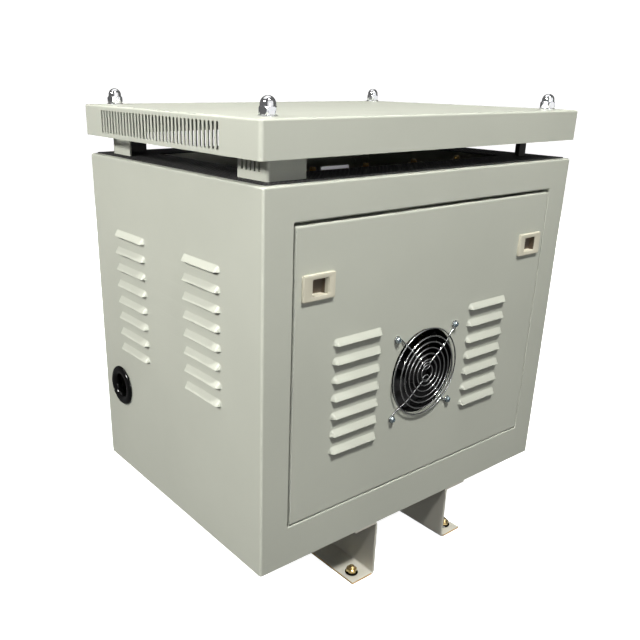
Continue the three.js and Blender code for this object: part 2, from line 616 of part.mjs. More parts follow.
function fanFrame() {
  const shape = outline([[-FRAME_HALF, -FRAME_HALF], [FRAME_HALF, -FRAME_HALF], [FRAME_HALF, FRAME_HALF],
    [-FRAME_HALF, FRAME_HALF]]);
  shape.holes.push(circleHole(0, 0, FAN_BORE));
  const back = SHEET + FAN_DEPTH;
  const duct = extruded(shape, 'y', SHEET, back, 12);
  const screwHoles = CORNERS.map(([, sx, sz]) => alongY(rod(2.8, SHEET - 1, back + 1, 8),
    sx * FAN_PITCH / 2, sz * FAN_PITCH / 2));
  const spokes = [[-1, 0], [0, 1], [1, 0], [0, -1]].map(([sx, sz]) => {
    const reach = (s) => (s === 0 ? [-4, 4] : [s * 10, s * (FAN_BORE + 1)]);
    return block(reach(sx), [back - MOUNT_DEPTH, back], reach(sz));
  });
  const motor = rod(22, back - MOUNT_DEPTH, back, 16).rotate([-90, 0, 0]);
  const spindle = rod(3, HUB_SPAN[0] + 6, back - 1, 8).rotate([-90, 0, 0]);
  return cut(joined([duct, ...spokes, motor, spindle]), screwHoles);
}

function fanRotor() {
  const hub = rod(HUB_RADIUS, ...HUB_SPAN, 20).rotate([-90, 0, 0]);
  const blade = block([HUB_RADIUS - 4, 54], [-10, 10], [-1.1, 1.1])
    .rotate([38, 0, 0]).translate([0, (HUB_SPAN[0] + HUB_SPAN[1]) / 2, 0]);
  const blades = Array.from({ length: BLADES }, (_, i) => blade.rotate([0, 360 * i / BLADES, 0]));
  const bore = rod(3 + 2 * GAP, HUB_SPAN[0] + 5, HUB_SPAN[1] + 1, 8).rotate([-90, 0, 0]);
  return cut(joined([hub, ...blades]), [bore]);
}

place(fan, 'fan_frame', fanFrame(), BLACK_PLASTIC);
place(fan, 'fan_rotor', fanRotor(), BLACK_PLASTIC);

// Wire guard: rings in front, welded to two bent wires whose ends loop round the screws.
const WIRE = 1;
const RING_Y = -GUARD_PROUD + WIRE;
const SPOKE_Y = RING_Y + 1.4;
const LOOP_Y = -WIRE - GAP;
const RINGS = [10, 17.5, 25, 32.5, 40, 47.5, 57];

function ring(radius, x, y, z, segments) {
  const torus = new THREE.TorusGeometry(radius, WIRE, 4, segments);
  return solid(torus.rotateX(Math.PI / 2).translate(x, y, z));
}

function wire(from, to) {
  const path = new THREE.LineCurve3(new THREE.Vector3(...from), new THREE.Vector3(...to));
  const section = new THREE.Shape().absarc(0, 0, WIRE, 0, 2 * Math.PI);
  return solid(new THREE.ExtrudeGeometry(section, { extrudePath: path, steps: 1, curveSegments: 2 }));
}

function fanGuard() {
  const rings = RINGS.map((radius) => ring(radius, 0, RING_Y, 0, radius < 20 ? 16 : 22));
  const eyes = [1, -1].map((sz) => ring(6, 0, SPOKE_Y, sz * 8.5, 10));
  const spokes = [[-1, 1], [1, 1], [-1, -1], [1, -1]].flatMap(([sx, sz]) => {
    const edge = FAN_PITCH / 2;
    return [
      ring(4, sx * edge, LOOP_Y, sz * edge, 10),
      wire([sx * 5.2, SPOKE_Y, sz * 11.5], [sx * 43, SPOKE_Y, sz * 43]),
      wire([sx * 42.6, SPOKE_Y - 0.3, sz * 42.6], [sx * 49.7, LOOP_Y, sz * 49.7]),
    ];
  });
  return joined([...rings, ...eyes, ...spokes]);
}

place(fan, 'fan_guard', fanGuard(), CHROME);

// Pan-head screws hold the guard and the fan to the panel.
const fanScrew = turned([
  [0, -6.1], [2.4, -6.1], [4.2, -4.6], [4.2, -2.6], [2.1, -2.6], [2.1, 34], [0, 34],
], 10).rotate([-90, 0, 0]);
const SCREW_NAMES = ['top_left', 'top_right', 'bottom_left', 'bottom_right'];
SCREW_NAMES.forEach((name, i) => {
  const [x, z] = fanScrewSpots[i];
  place(panel, `fan_screw_${name}`, fanScrew, ZINC, [x, 0, z]);
});

export default transformer;
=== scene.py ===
"""Looks of the enclosed dry-type autotransformer. Meshes are built in millimetres in the row frame
(X to the right, Y to the back, Z up) and turned into metres when they become objects."""
import math

import bmesh
import bpy
from mathutils import Matrix, Vector
from mathutils.geometry import tessellate_polygon

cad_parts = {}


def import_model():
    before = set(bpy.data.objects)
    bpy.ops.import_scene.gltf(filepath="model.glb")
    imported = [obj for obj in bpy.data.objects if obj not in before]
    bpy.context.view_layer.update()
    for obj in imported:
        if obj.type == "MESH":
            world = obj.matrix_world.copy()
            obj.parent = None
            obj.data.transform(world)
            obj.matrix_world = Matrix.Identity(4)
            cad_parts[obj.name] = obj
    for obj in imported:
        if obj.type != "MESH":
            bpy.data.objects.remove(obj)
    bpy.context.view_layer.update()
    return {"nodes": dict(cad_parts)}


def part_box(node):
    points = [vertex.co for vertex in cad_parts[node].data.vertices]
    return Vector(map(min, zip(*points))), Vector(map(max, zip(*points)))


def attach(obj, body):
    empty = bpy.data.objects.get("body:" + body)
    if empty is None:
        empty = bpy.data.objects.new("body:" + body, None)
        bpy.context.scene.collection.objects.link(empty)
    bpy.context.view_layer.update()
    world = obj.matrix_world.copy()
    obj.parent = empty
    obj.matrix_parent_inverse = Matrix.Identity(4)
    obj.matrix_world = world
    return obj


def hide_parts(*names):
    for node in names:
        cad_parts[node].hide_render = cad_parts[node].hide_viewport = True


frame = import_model()
MM = 0.001


# ---- places taken from the frame
def box(node):
    """Lowest and highest corner of a CAD node, in millimetres."""
    low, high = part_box(node)
    return low / MM, high / MM


LEFT = box("left_stile")[0].x
RIGHT = box("right_stile")[1].x
FRONT = box("top_rail")[0].y
BACK = box("roof_cover")[1].y
BASE = box("floor_pan")[0].z
TOP = box("top_flange")[1].z
MIDDLE_Y = (FRONT + BACK) / 2
HALF_DEPTH = (BACK - FRONT) / 2
SHEET = 1.6                    # sheet metal as drawn here
FLANGE = 15                    # width of the flange round the cabinet's top


# ---- mesh helpers
def new_object(name, data):
    obj = bpy.data.objects.new(name, data)
    bpy.context.scene.collection.objects.link(obj)
    return obj


def to_object(name, bm):
    """An object from a mesh, which it frees."""
    mesh = bpy.data.meshes.new(name)
    bm.to_mesh(mesh)
    bm.free()
    return new_object(name, mesh)


def piece(name, bm, material, replaces=(), angle=35, body="cabinet"):
    """An object from a mesh in millimetres: its finish, the CAD nodes that it stands for and its body.
    Shading is smooth except over edges sharper than angle."""
    bmesh.ops.remove_doubles(bm, verts=bm.verts, dist=0.002)
    bmesh.ops.dissolve_degenerate(bm, edges=bm.edges, dist=0.0005)
    bmesh.ops.scale(bm, vec=(MM, MM, MM), verts=bm.verts)
    bm.normal_update()
    for face in bm.faces:
        face.smooth = True
    for edge in bm.edges:
        edge.smooth = len(edge.link_faces) == 2 and edge.calc_face_angle(0) < math.radians(angle)
    obj = to_object(name, bm)
    materials = material if isinstance(material, list) else [material]
    for entry in materials:
        obj.data.materials.append(entry)
    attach(obj, body)
    if replaces:
        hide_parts(*replaces)
    return obj


def thicken(obj, thickness=SHEET):
    """Turns a skin into sheet metal, inwards from its outer face."""
    solid = obj.modifiers.new("thickness", "SOLIDIFY")
    solid.thickness = thickness * MM
    solid.offset = -1
    solid.use_even_offset = True
    return weigh(obj)


def weigh(obj):
    """Flat faces stay flat beside narrow rounded edges."""
    normals = obj.modifiers.new("normals", "WEIGHTED_NORMAL")
    normals.keep_sharp = True
    return obj


def soften(obj, width=0.4, segments=2, degrees=40):
    """Rounds the sharp edges of a solid."""
    bevel = obj.modifiers.new("edges", "BEVEL")
    bevel.width = width * MM
    bevel.segments = segments
    bevel.limit_method = "ANGLE"
    bevel.angle_limit = math.radians(degrees)
    return weigh(obj)


def rounded_loop(x0, x1, y0, y1, radius, steps=4, grow=0):
    """Points round a rectangle with rounded corners, anticlockwise, grown outwards by grow."""
    r = max(radius + grow, 0.3)
    x0, x1, y0, y1 = x0 - grow, x1 + grow, y0 - grow, y1 + grow
    centres = ((x0 + r, y0 + r, 180), (x1 - r, y0 + r, 270), (x1 - r, y1 - r, 0), (x0 + r, y1 - r, 90))
    points = []
    for cx, cy, start in centres:
        for k in range(steps + 1):
            a = math.radians(start + 90 * k / steps)
            points.append((cx + r * math.cos(a), cy + r * math.sin(a)))
    return points


def circle_loop(cx, cy, radius, count=48):
    turn = 2 * math.pi / count
    return [(cx + radius * math.cos(i * turn), cy + radius * math.sin(i * turn)) for i in range(count)]


def fold(radius, steps=4):
    """(grow, depth) along a rounded edge, from the face to the side."""
    quarter = [math.pi / 2 * k / steps for k in range(steps + 1)]
    return [(-radius * (1 - math.sin(a)), radius * (1 - math.cos(a))) for a in quarter]


def bent_in(low, high, radius):
    """(grow, height) up a wall and over a rounded edge at its top."""
    return [(0, low), (0, high - radius)] + [(grow, high - depth) for grow, depth in fold(radius)[::-1][1:]]


def level(z, loop):
    """A flat loop, from (x, y) points."""
    return [(x, y, z) for x, y in loop]


def upright(y, loop):
    """A loop parallel to the front, from (x, z) points."""
    return [(x, y, z) for x, z in loop]


def sideways(x, loop):
    """A loop parallel to the sides, from (y, z) points."""
    return [(x, y, z) for y, z in loop]


def fill(bm, outer, holes, normal):
    """Triangles between an outer loop of vertices and hole loops, facing along normal."""
    normal = Vector(normal)
    verts = list(outer) + [v for hole in holes for v in hole]
    loops = [[v.co.copy() for v in loop] for loop in (outer, *holes)]
    for a, b, c in tessellate_polygon(loops):
        trio = [verts[a], verts[b], verts[c]]
        across = (trio[1].co - trio[0].co).cross(trio[2].co - trio[0].co)
        if across.length < 1e-7:
            continue
        bm.faces.new(trio if across.dot(normal) > 0 else trio[::-1])


def new_loop(bm, points):
    return [bm.verts.new(p) for p in points]


def loft(bm, loops, flip=False, openings=None, closed=True):
    """Quads between loops of points. openings maps (step, side) to (holes, normal)."""
    rows = [new_loop(bm, loop) for loop in loops]
    count = len(rows[0])
    for j in range(len(rows) - 1):
        for i in range(count if closed else count - 1):
            k = (i + 1) % count
            quad = [rows[j][i], rows[j][k], rows[j + 1][k], rows[j + 1][i]]
            if openings and (j, i) in openings:
                holes, normal = openings[(j, i)]
                fill(bm, quad, [new_loop(bm, hole) for hole in holes], normal)
            else:
                bm.faces.new(quad[::-1] if flip else quad)
    return rows


def cap(bm, row, flip=False):
    bm.faces.new(row[::-1] if flip else row)


def band(bm, low, high):
    """Quads between two closed rows of vertices."""
    for i in range(len(low)):
        k = (i + 1) % len(low)
        bm.faces.new((low[i], low[k], high[k], high[i]))


def net(bm, points):
    """Quads over rows of points, and the rows of vertices."""
    rows = [new_loop(bm, row) for row in points]
    for upper, lower in zip(rows, rows[1:]):
        for i in range(len(upper) - 1):
            bm.faces.new((upper[i], lower[i], lower[i + 1], upper[i + 1]))
    return rows


def outward(bm):
    """Turns the faces of every closed shape in the mesh outwards."""
    bmesh.ops.recalc_face_normals(bm, faces=bm.faces)


def solid(bm, loops):
    """A closed solid through loops of points, capped at both ends."""
    rows = loft(bm, loops)
    cap(bm, rows[0])
    cap(bm, rows[-1])
    outward(bm)


def block(bm, x0, x1, y0, y1, z0, z1):
    """A plain block in the mesh."""
    xs, ys, zs = sorted((x0, x1)), sorted((y0, y1)), sorted((z0, z1))
    v = [bm.verts.new((x, y, z)) for z in zs for y in ys for x in xs]
    for face in ((0, 2, 3, 1), (4, 5, 7, 6), (0, 1, 5, 4), (2, 6, 7, 3), (0, 4, 6, 2), (1, 3, 7, 5)):
        bm.faces.new([v[i] for i in face])


def prism(bm, outline, low, high, to_point):
    """An outline in two coordinates drawn out from low to high. to_point maps (u, v, w) to a point."""
    solid(bm, [[to_point(u, v, w) for u, v in outline] for w in (low, high)])


def turned(bm, levels, place, count=48, across_flats=None, ring=False):
    """A round piece about Z from (height, radius) levels, lowest first, or a hexagonal one whose
    corners the radii trim. ring closes the last level on the first instead of capping the ends."""
    rows = []
    for height, radius in levels:
        row = []
        for i in range(count):
            a = 2 * math.pi * i / count
            r = radius
            if across_flats:
                from_flat = (a + math.pi / 6) % (math.pi / 3) - math.pi / 6
                r = min(radius, across_flats / 2 / math.cos(from_flat))
            row.append(bm.verts.new(place @ Vector((r * math.cos(a), r * math.sin(a), height))))
        rows.append(row)
    if ring:
        rows.append(rows[0])
    for low, high in zip(rows, rows[1:]):
        band(bm, low, high)
    if not ring:
        cap(bm, rows[0], flip=True)
        cap(bm, rows[-1])


def tube(bm, points, radius, sides=10, closed=False):
    """A round wire through points."""
    path = [Vector(p) for p in points]
    count = len(path)
    rows = []
    side = None
    for i, point in enumerate(path):
        before = path[i - 1] if (i or closed) else point
        after = path[(i + 1) % count] if (i < count - 1 or closed) else point
        along = (after - before).normalized()
        if side is None:
            side = along.orthogonal().normalized()
        side = (side - along * side.dot(along)).normalized()
        up = along.cross(side)
        turn = [2 * math.pi * k / sides for k in range(sides)]
        rows.append([bm.verts.new(point + (side * math.cos(a) + up * math.sin(a)) * radius) for a in turn])
    for low, high in zip(rows, rows[1:]):
        band(bm, low, high)
    if closed:
        band(bm, rows[-1], rows[0])
    else:
        cap(bm, rows[0], flip=True)
        cap(bm, rows[-1])


def thread(low, high, radius, pitch=1.25, depth=0.35):
    """(height, radius) levels of a threaded stretch with a chamfered end."""
    levels = []
    height = low
    while height + pitch < high - 0.6:
        levels += [(height, radius - depth), (height + pitch / 2, radius)]
        height += pitch
    return levels + [(height, radius - depth), (high, radius - depth - 0.5)]


def mirrored(sx, sy, x, y, z=0):
    """Moves to a place at x and y from the cabinet's middle, on the sides that sx and sy say."""
    return Matrix.Translation((sx * x, MIDDLE_Y + sy * y, z))


def toward(direction, origin):
    """Turns +Z into direction and moves to origin."""
    return Matrix.Translation(origin) @ Vector(direction).to_track_quat("Z", "Y").to_matrix().to_4x4()


# ---- materials
class Nodes:
    """A short way to write a node tree."""

    def __init__(self, name):
        self.material = bpy.data.materials.new(name)
        self.material.use_nodes = True
        self.tree = self.material.node_tree
        self.shader = self.tree.nodes["Principled BSDF"]
        self.place = self.add("ShaderNodeTexCoord").outputs["Object"]

    def feed(self, node, inputs):
        """Each input is a value, or the socket that it is linked to."""
        for key, value in inputs.items():
            if isinstance(value, bpy.types.NodeSocket):
                self.tree.links.new(value, node.inputs[key])
            else:
                node.inputs[key].default_value = value
        return node

    def add(self, kind, inputs=None, **settings):
        node = self.tree.nodes.new(kind)
        for key, value in settings.items():
            setattr(node, key, value)
        return self.feed(node, inputs or {})

    def noise(self, scale, detail=3, stretch=None):
        place = self.place
        if stretch:
            place = self.add("ShaderNodeMapping", {"Vector": place, "Scale": stretch}).outputs["Vector"]
        inputs = {"Vector": place, "Scale": scale, "Detail": detail, "Roughness": 0.55}
        return self.add("ShaderNodeTexNoise", inputs).outputs["Fac"]

    def ramp(self, factor, stops):
        """A colour that runs between two (position, colour) stops."""
        node = self.add("ShaderNodeValToRGB", {"Fac": factor})
        for element, (position, colour) in zip(node.color_ramp.elements, stops):
            element.position = position
            element.color = (*colour, 1)
        return node.outputs["Color"]

    def range(self, factor, low, high):
        inputs = {"Value": factor, "To Min": low, "To Max": high}
        return self.add("ShaderNodeMapRange", inputs).outputs["Result"]

    def bump(self, height, strength, distance, base=None):
        inputs = {"Height": height, "Strength": strength, "Distance": distance}
        if base:
            inputs["Normal"] = base
        return self.add("ShaderNodeBump", inputs).outputs["Normal"]

    def mottle(self, factor, colour, dark, light, low=0.3, high=0.7):
        """From a darker to a lighter shade of a colour, as factor goes from low to high."""
        return self.ramp(factor, [(low, shade(colour, dark)), (high, shade(colour, light))])

    def finish(self, **inputs):
        """Feeds the shader, with underscores for the spaces in its inputs' names."""
        self.feed(self.shader, {key.replace("_", " "): value for key, value in inputs.items()})
        return self.material


def shade(colour, factor):
    return tuple(min(c * factor, 1) for c in colour)


def painted(name, colour, roughness=0.42, grain=900, strength=0.12, coat=0.15):
    """Powder coat: a fine orange peel, slight clouding and faint rubbed patches."""
    n = Nodes(name)
    cloud = n.noise(4.5, 4)
    rub = n.noise(38)
    peel = n.bump(n.noise(grain, 2), strength, 0.0003)
    return n.finish(
        Base_Color=n.mottle(cloud, colour, 0.955, 1.03),
        Roughness=n.range(rub, roughness - 0.07, roughness + 0.08),
        Normal=n.bump(cloud, 0.06, 0.004, peel),
        Coat_Weight=coat, Coat_Roughness=0.25, Specular_IOR_Level=0.5)


def metal(name, colour, roughness=0.25, tint=None, variation=0.08):
    """Bare or plated metal with fine specks and an uneven shine."""
    n = Nodes(name)
    patch = n.noise(60, 4)
    specks = n.noise(700)
    return n.finish(
        Base_Color=n.ramp(patch, [(0.35, colour), (0.68, tint or shade(colour, 0.9))]),
        Roughness=n.range(specks, roughness - variation, roughness + variation),
        Normal=n.bump(specks, 0.05, 0.0002), Metallic=1)


def plastic(name, colour, roughness=0.42, grain=1400, strength=0.08, variation=0.06, gloss=0.5):
    """Moulded plastic with a fine spark-eroded grain."""
    n = Nodes(name)
    return n.finish(
        Base_Color=n.mottle(n.noise(25), colour, 0.94, 1.05, low=0.35),
        Roughness=n.range(n.noise(90), roughness - variation, roughness + variation),
        Normal=n.bump(n.noise(grain, 2), strength, 0.0002), Specular_IOR_Level=gloss)


def laminated(name, colour):
    """Stacked core sheets: fine lines across the stack, with a varnish that varies."""
    n = Nodes(name)
    layers = n.noise(1, 2, stretch=(6, 1600, 6))
    return n.finish(
        Base_Color=n.mottle(n.noise(18, 5), colour, 0.6, 1.25, high=0.72),
        Roughness=n.range(layers, 0.35, 0.62),
        Normal=n.bump(layers, 0.35, 0.0004), Metallic=0.6)


def varnished(name, colour, deep):
    """Impregnated winding: brown varnish in darker and lighter runs."""
    n = Nodes(name)
    runs = n.noise(30, 5, stretch=(1, 1, 0.25))
    return n.finish(
        Base_Color=n.ramp(runs, [(0.3, deep), (0.7, colour)]),
        Roughness=n.range(n.noise(120), 0.25, 0.5),
        Normal=n.bump(n.noise(500), 0.15, 0.0004), Coat_Weight=0.4, Coat_Roughness=0.2)


def fibre(name, colour):
    """Glass-filled board or pressboard: a fine diagonal weave."""
    n = Nodes(name)
    threads = {"Vector": n.place, "Scale": 260, "Distortion": 1.5}
    weave = n.add("ShaderNodeTexWave", threads, wave_type="BANDS", bands_direction="DIAGONAL")
    blotch = n.noise(40, 4)
    return n.finish(
        Base_Color=n.mottle(blotch, colour, 0.88, 1.05),
        Roughness=n.range(blotch, 0.5, 0.66),
        Normal=n.bump(weave.outputs["Fac"], 0.12, 0.0003))


PAINT = painted("cabinet_paint", (0.425, 0.438, 0.379), grain=520, strength=0.26)
# Black paint of the clamps and the bracket; also painted shade inside the roof posts' angles
BLACK_PAINT_AND_SHADE = painted("black_steel", (0.028, 0.028, 0.026), roughness=0.4)
# Near-black sheet, darkened further as painted shade of the roof over it
GRILLE_BLACK_AND_SHADE = painted("grille_black_and_shade", (0.012, 0.012, 0.012), roughness=0.7, coat=0)
FOOT_PAINT = painted("foot_paint", (0.50, 0.485, 0.42), roughness=0.36, coat=0.25)
BARE_EDGE = painted("foot_edge", (0.56, 0.37, 0.13), roughness=0.5, coat=0.1)
CHROME = metal("chrome", (0.86, 0.87, 0.89), roughness=0.09, variation=0.04)
# Chrome of the guard wire, darker than the nuts' chrome: painted shade standing for the dark surroundings it
# reflects
GUARD_CHROME_SHADED = metal("guard_chrome_shaded", (0.52, 0.53, 0.53), roughness=0.2, variation=0.06)
ZINC = metal("zinc", (0.40, 0.50, 0.56), roughness=0.28, tint=(0.52, 0.58, 0.60))
GOLD_ZINC = metal("yellow_zinc", (0.82, 0.60, 0.25), roughness=0.26, tint=(0.86, 0.70, 0.42))
BRASS = metal("brass", (0.80, 0.58, 0.26), roughness=0.24, tint=(0.70, 0.46, 0.18))
IVORY = plastic("latch_plastic", (0.53, 0.505, 0.405), roughness=0.42)
# Brown of the latch bolt; also painted shade in the latch windows and on the ramps' deep ends
BOLT_BROWN_AND_SHADE = plastic("latch_bolt_plastic_and_shade", (0.10, 0.074, 0.048), roughness=0.5)
FAN_BLACK = plastic("fan_plastic", (0.006, 0.006, 0.0065), roughness=0.5, strength=0.12, gloss=0.15)
RUBBER = plastic("grommet_rubber", (0.002, 0.002, 0.002), roughness=0.13, grain=500, strength=0.03,
                 variation=0.03, gloss=0.3)
CORE_STEEL = laminated("core_steel", (0.16, 0.17, 0.18))
VARNISH = varnished("winding", (0.30, 0.115, 0.035), (0.13, 0.045, 0.015))
PAPER = fibre("pressboard", (0.55, 0.44, 0.27))
LAMINATE = fibre("insulating_board", (0.78, 0.76, 0.68))
PLATED = metal("plated_strip", (0.90, 0.90, 0.92), roughness=0.3, tint=(0.84, 0.84, 0.88))


# ---- pressed louvres
LOUVRE_HALF = 39               # half the length of a hood
LOUVRE_PITCH = 22.5
COLUMN_APART = 117             # from the fan or the back's middle to a column of louvres
HOOD_HEIGHT = 8.2
HOOD_PROUD = 5.6
HOOD_END = 6                   # length over which a hood rises at each end
HOOD_CORNER = 6                # radius of its upper corners


def swell(t):
    """A rise from 0 to 1 that is soft at both ends."""
    return (1 - math.cos(math.pi * max(0, min(1, t)))) / 2


def slope(t):
    """The hood's profile: a small fillet at the crease, a straight slope and a slightly rolled lip."""
    fillet = 0.12
    rise = t * t / (2 * fillet) if t < fillet else t - fillet / 2
    return 0.7 * rise / (1 - fillet / 2) + 0.3 * math.sin(math.pi * t / 2) * min(1, t / fillet)


def louvre_grid(x, edge):
    """Rows of (across, up, outwards) over a hood, from its upper crease to its free lip."""
    ends = [LOUVRE_HALF - HOOD_END * k / 7 for k in range(8)]
    columns = [-a for a in ends] + [-12, 12] + ends[::-1]
    rows = []
    for j in range(9):
        v = j / 8
        row = []
        for a in columns:
            round_off = max(0, abs(a) - LOUVRE_HALF + HOOD_CORNER)
            top = HOOD_CORNER - math.sqrt(max(0, HOOD_CORNER ** 2 - round_off ** 2))
            depth = HOOD_PROUD * slope(v) * swell((LOUVRE_HALF - abs(a)) / HOOD_END)
            row.append((x + a, edge - top - (HOOD_HEIGHT - top) * v, depth))
        rows.append(row)
    return rows


def louvre_hole(grid):
    """The loop in the sheet that a hood and its slot take up."""
    return grid[0] + [row[-1] for row in grid[1:]] + [row[0] for row in grid[:0:-1]]


def louvres(bm, columns, first, count, to_point):
    """Presses rows of hoods and returns the holes that the sheet needs for them."""
    holes = []
    for x in columns:
        for i in range(count):
            grid = louvre_grid(x, first - i * LOUVRE_PITCH)
            net(bm, [[to_point(*p) for p in row] for row in grid])
            holes.append([to_point(a, up, 0) for a, up, _ in louvre_hole(grid)])
    return holes


# ---- cabinet
COVER = 1.6                    # the back cover lies on the folded shell
OPENING = (-220, 220, BASE + 52, TOP - 38)
SIDE_FIRST = BASE + 354.4
SIDE_ROWS = 8
SIDE_COLUMNS = (FRONT + 114.3, FRONT + 282.3)
GROMMET = Vector((LEFT, FRONT + 331.5, BASE + 127.3))


# from (across, up, outwards) to a point on each outer face
def on_front(a, up, out):
    return (a, FRONT - out, up)


def on_left(a, up, out):
    return (LEFT - out, -a, up)


def on_right(a, up, out):
    return (RIGHT + out, a, up)


def on_back(a, up, out):
    return (-a, BACK + out, up)


def cabinet_shell():
    """Front frame, both sides and top flange, folded from one sheet."""
    bm = bmesh.new()
    levels = bent_in(BASE, TOP, 2.5) + [(-FLANGE, TOP)]
    loops = [level(z, rounded_loop(LEFT, RIGHT, FRONT, BACK - COVER, 3, 4, grow)) for grow, z in levels]
    left = louvres(bm, [-y for y in SIDE_COLUMNS], SIDE_FIRST, SIDE_ROWS, on_left)
    left.append([on_left(-y, z, 0) for y, z in circle_loop(GROMMET.y, GROMMET.z, 24)])
    right = louvres(bm, SIDE_COLUMNS, SIDE_FIRST, SIDE_ROWS, on_right)
    rolled = [(-grow, depth) for grow, depth in fold(1.8, 4)] + [(0, 4)]
    rim = [upright(FRONT + y, rounded_loop(*OPENING, 1.2, 3, grow)) for grow, y in rolled]
    behind = upright(BACK - COVER, rounded_loop(-225, 225, BASE + 25, TOP - 30, 6))
    openings = {
        (0, 4): ([rim[0]], (0, -1, 0)),
        (0, 9): (right, (1, 0, 0)),
        (0, 14): ([behind], (0, 1, 0)),
        (0, 19): (left, (-1, 0, 0)),
    }
    loft(bm, loops, openings=openings)
    loft(bm, rim)
    nodes = ("left_side_panel", "right_side_panel", "left_stile", "right_stile",
             "bottom_rail", "top_rail", "top_flange")
    thicken(piece("cabinet_shell", bm, PAINT, nodes))


def opening_returns():
    """Sheet folded back beside and over the opening, with a keeper hole on each side."""
    bm = bmesh.new()
    _, _, low, high = OPENING
    for sx in (-1, 1):
        profile = [(221.6, 1.7), (221.6, 14.9), (221, 16.1), (219.8, 16.7), (208, 16.7)]
        rows = [[(sx * x, FRONT + y, z) for x, y in profile] for z in (low, high)]
        keeper = sideways(sx * 221.6, rounded_loop(FRONT + 7.4, FRONT + 12.2, 413, 425, 1))
        loft(bm, rows, flip=sx < 0, openings={(0, 0): ([keeper], (sx, 0, 0))}, closed=False)
    block(bm, -219, 219, FRONT + 1.8, FRONT + 14, high + 0.2, high + 1.8)
    thicken(piece("opening_returns", bm, PAINT), 1.3)


def back_cover():
    """A louvred sheet laid over the back."""
    bm = bmesh.new()
    rim = rounded_loop(LEFT + 1.5, RIGHT - 1.5, BASE + 1.5, TOP - 3.5, 3)
    holes = louvres(bm, (-COLUMN_APART, COLUMN_APART), SIDE_FIRST, SIDE_ROWS, on_back)
    outer = new_loop(bm, upright(BACK, rim))
    fill(bm, outer, [new_loop(bm, hole) for hole in holes], (0, 1, 0))
    thicken(piece("back_cover", bm, PAINT, ["back_panel"]), COVER - 0.1)


def top_grille():
    """Fine perforated sheet with a large opening, on the top flange. Its near-black colour is partly painted
    shade under the roof.
    """
    pitch = 6
    hole = 2
    margin = 66                # width of the sheet left round its opening
    z = TOP + 1.45
    square = [(1, 0), (1, 1), (0, 1), (-1, 1), (-1, 0), (-1, -1), (0, -1), (1, -1)]
    bm = bmesh.new()
    columns = int((RIGHT - LEFT - 10) / pitch)
    rows = int((BACK - FRONT - 10) / pitch)
    for i in range(columns):
        for j in range(rows):
            cx = (i - (columns - 1) / 2) * pitch
            cy = MIDDLE_Y + (j - (rows - 1) / 2) * pitch
            if abs(cx) < RIGHT - margin and abs(cy - MIDDLE_Y) < HALF_DEPTH - margin:
                continue
            outer = [(cx + u * pitch / 2, cy + v * pitch / 2) for u, v in square]
            inner = circle_loop(cx, cy, hole, len(square))
            band(bm, new_loop(bm, level(z, outer)), new_loop(bm, level(z, inner)))
    thicken(piece("top_grille_sheet", bm, GRILLE_BLACK_AND_SHADE, ["top_grille"]), 1.2)


def grommet():
    """A rubber ring with a groove for the sheet's edge."""
    bm = bmesh.new()
    levels = [(-5, 16.5), (-5, 27), (-4, 28), (-1.9, 28), (-1.9, 23.6), (0.2, 23.6), (0.2, 27.6),
              (0.9, 28.5), (2.2, 28.3), (3.6, 27.2), (4.6, 25.2), (4.9, 22.6), (4.6, 20), (3.6, 18),
              (2, 16.8), (0, 16.2), (-3, 16)]
    turned(bm, levels, toward((-1, 0, 0), GROMMET), 64, ring=True)
    outward(bm)
    piece("rubber_grommet", bm, RUBBER, ["cable_grommet"], 60)


# ---- roof, posts and acorn nuts
ROOF_LOW, ROOF_HIGH = box("roof_cover")[0].z, box("roof_cover")[1].z
ROOF_SLOTS = 35
SLOT_FIRST = FRONT + 71.9
SLOT_PITCH = 7.71
STUD_X = RIGHT - 26.7
STUD_Y = HALF_DEPTH - 28.9
SIDES = (("left", -1), ("right", 1))
CORNERS = (("front_left", -1, -1), ("front_right", 1, -1), ("back_left", -1, 1), ("back_right", 1, 1))


def roof_tray():
    """A shallow tray upside down, with a comb of slots along each side."""
    bm = bmesh.new()
    x0, x1 = box("roof_cover")[0].x, box("roof_cover")[1].x
    levels = bent_in(ROOF_LOW, ROOF_HIGH, 2.6)
    loops = [level(z, rounded_loop(x0, x1, FRONT, BACK, 4.5, 4, grow)) for grow, z in levels]
    middles = [SLOT_FIRST + i * SLOT_PITCH for i in range(ROOF_SLOTS)]
    slots = [rounded_loop(y - 2, y + 2, ROOF_LOW + 4.5, ROOF_LOW + 32.5, 1.95, 3) for y in middles]
    openings = {
        (0, 9): ([sideways(x1, slot) for slot in slots], (1, 0, 0)),
        (0, 19): ([sideways(x0, slot) for slot in slots], (-1, 0, 0)),
    }
    rows = loft(bm, loops, openings=openings)
    studs = [circle_loop(sx * STUD_X, MIDDLE_Y + sy * STUD_Y, 6, 20) for _, sx, sy in CORNERS]
    fill(bm, rows[-1], [new_loop(bm, level(ROOF_HIGH, stud)) for stud in studs], (0, 0, 1))
    thicken(piece("roof_tray", bm, PAINT, ["roof_cover"]), 1.8)


POST_WALL = 3
POST_TOP = TOP + 48
GRILLE_TOP = TOP + 1.55
# The right-hand posts are black all over.
POSTS = {
    "front_left": (18, 18, 50, PAINT),
    "front_right": (36, 45, 17, BLACK_PAINT_AND_SHADE),
    "back_left": (18, 32, 48, PAINT),
    "back_right": (36, 45, 17, BLACK_PAINT_AND_SHADE),
}


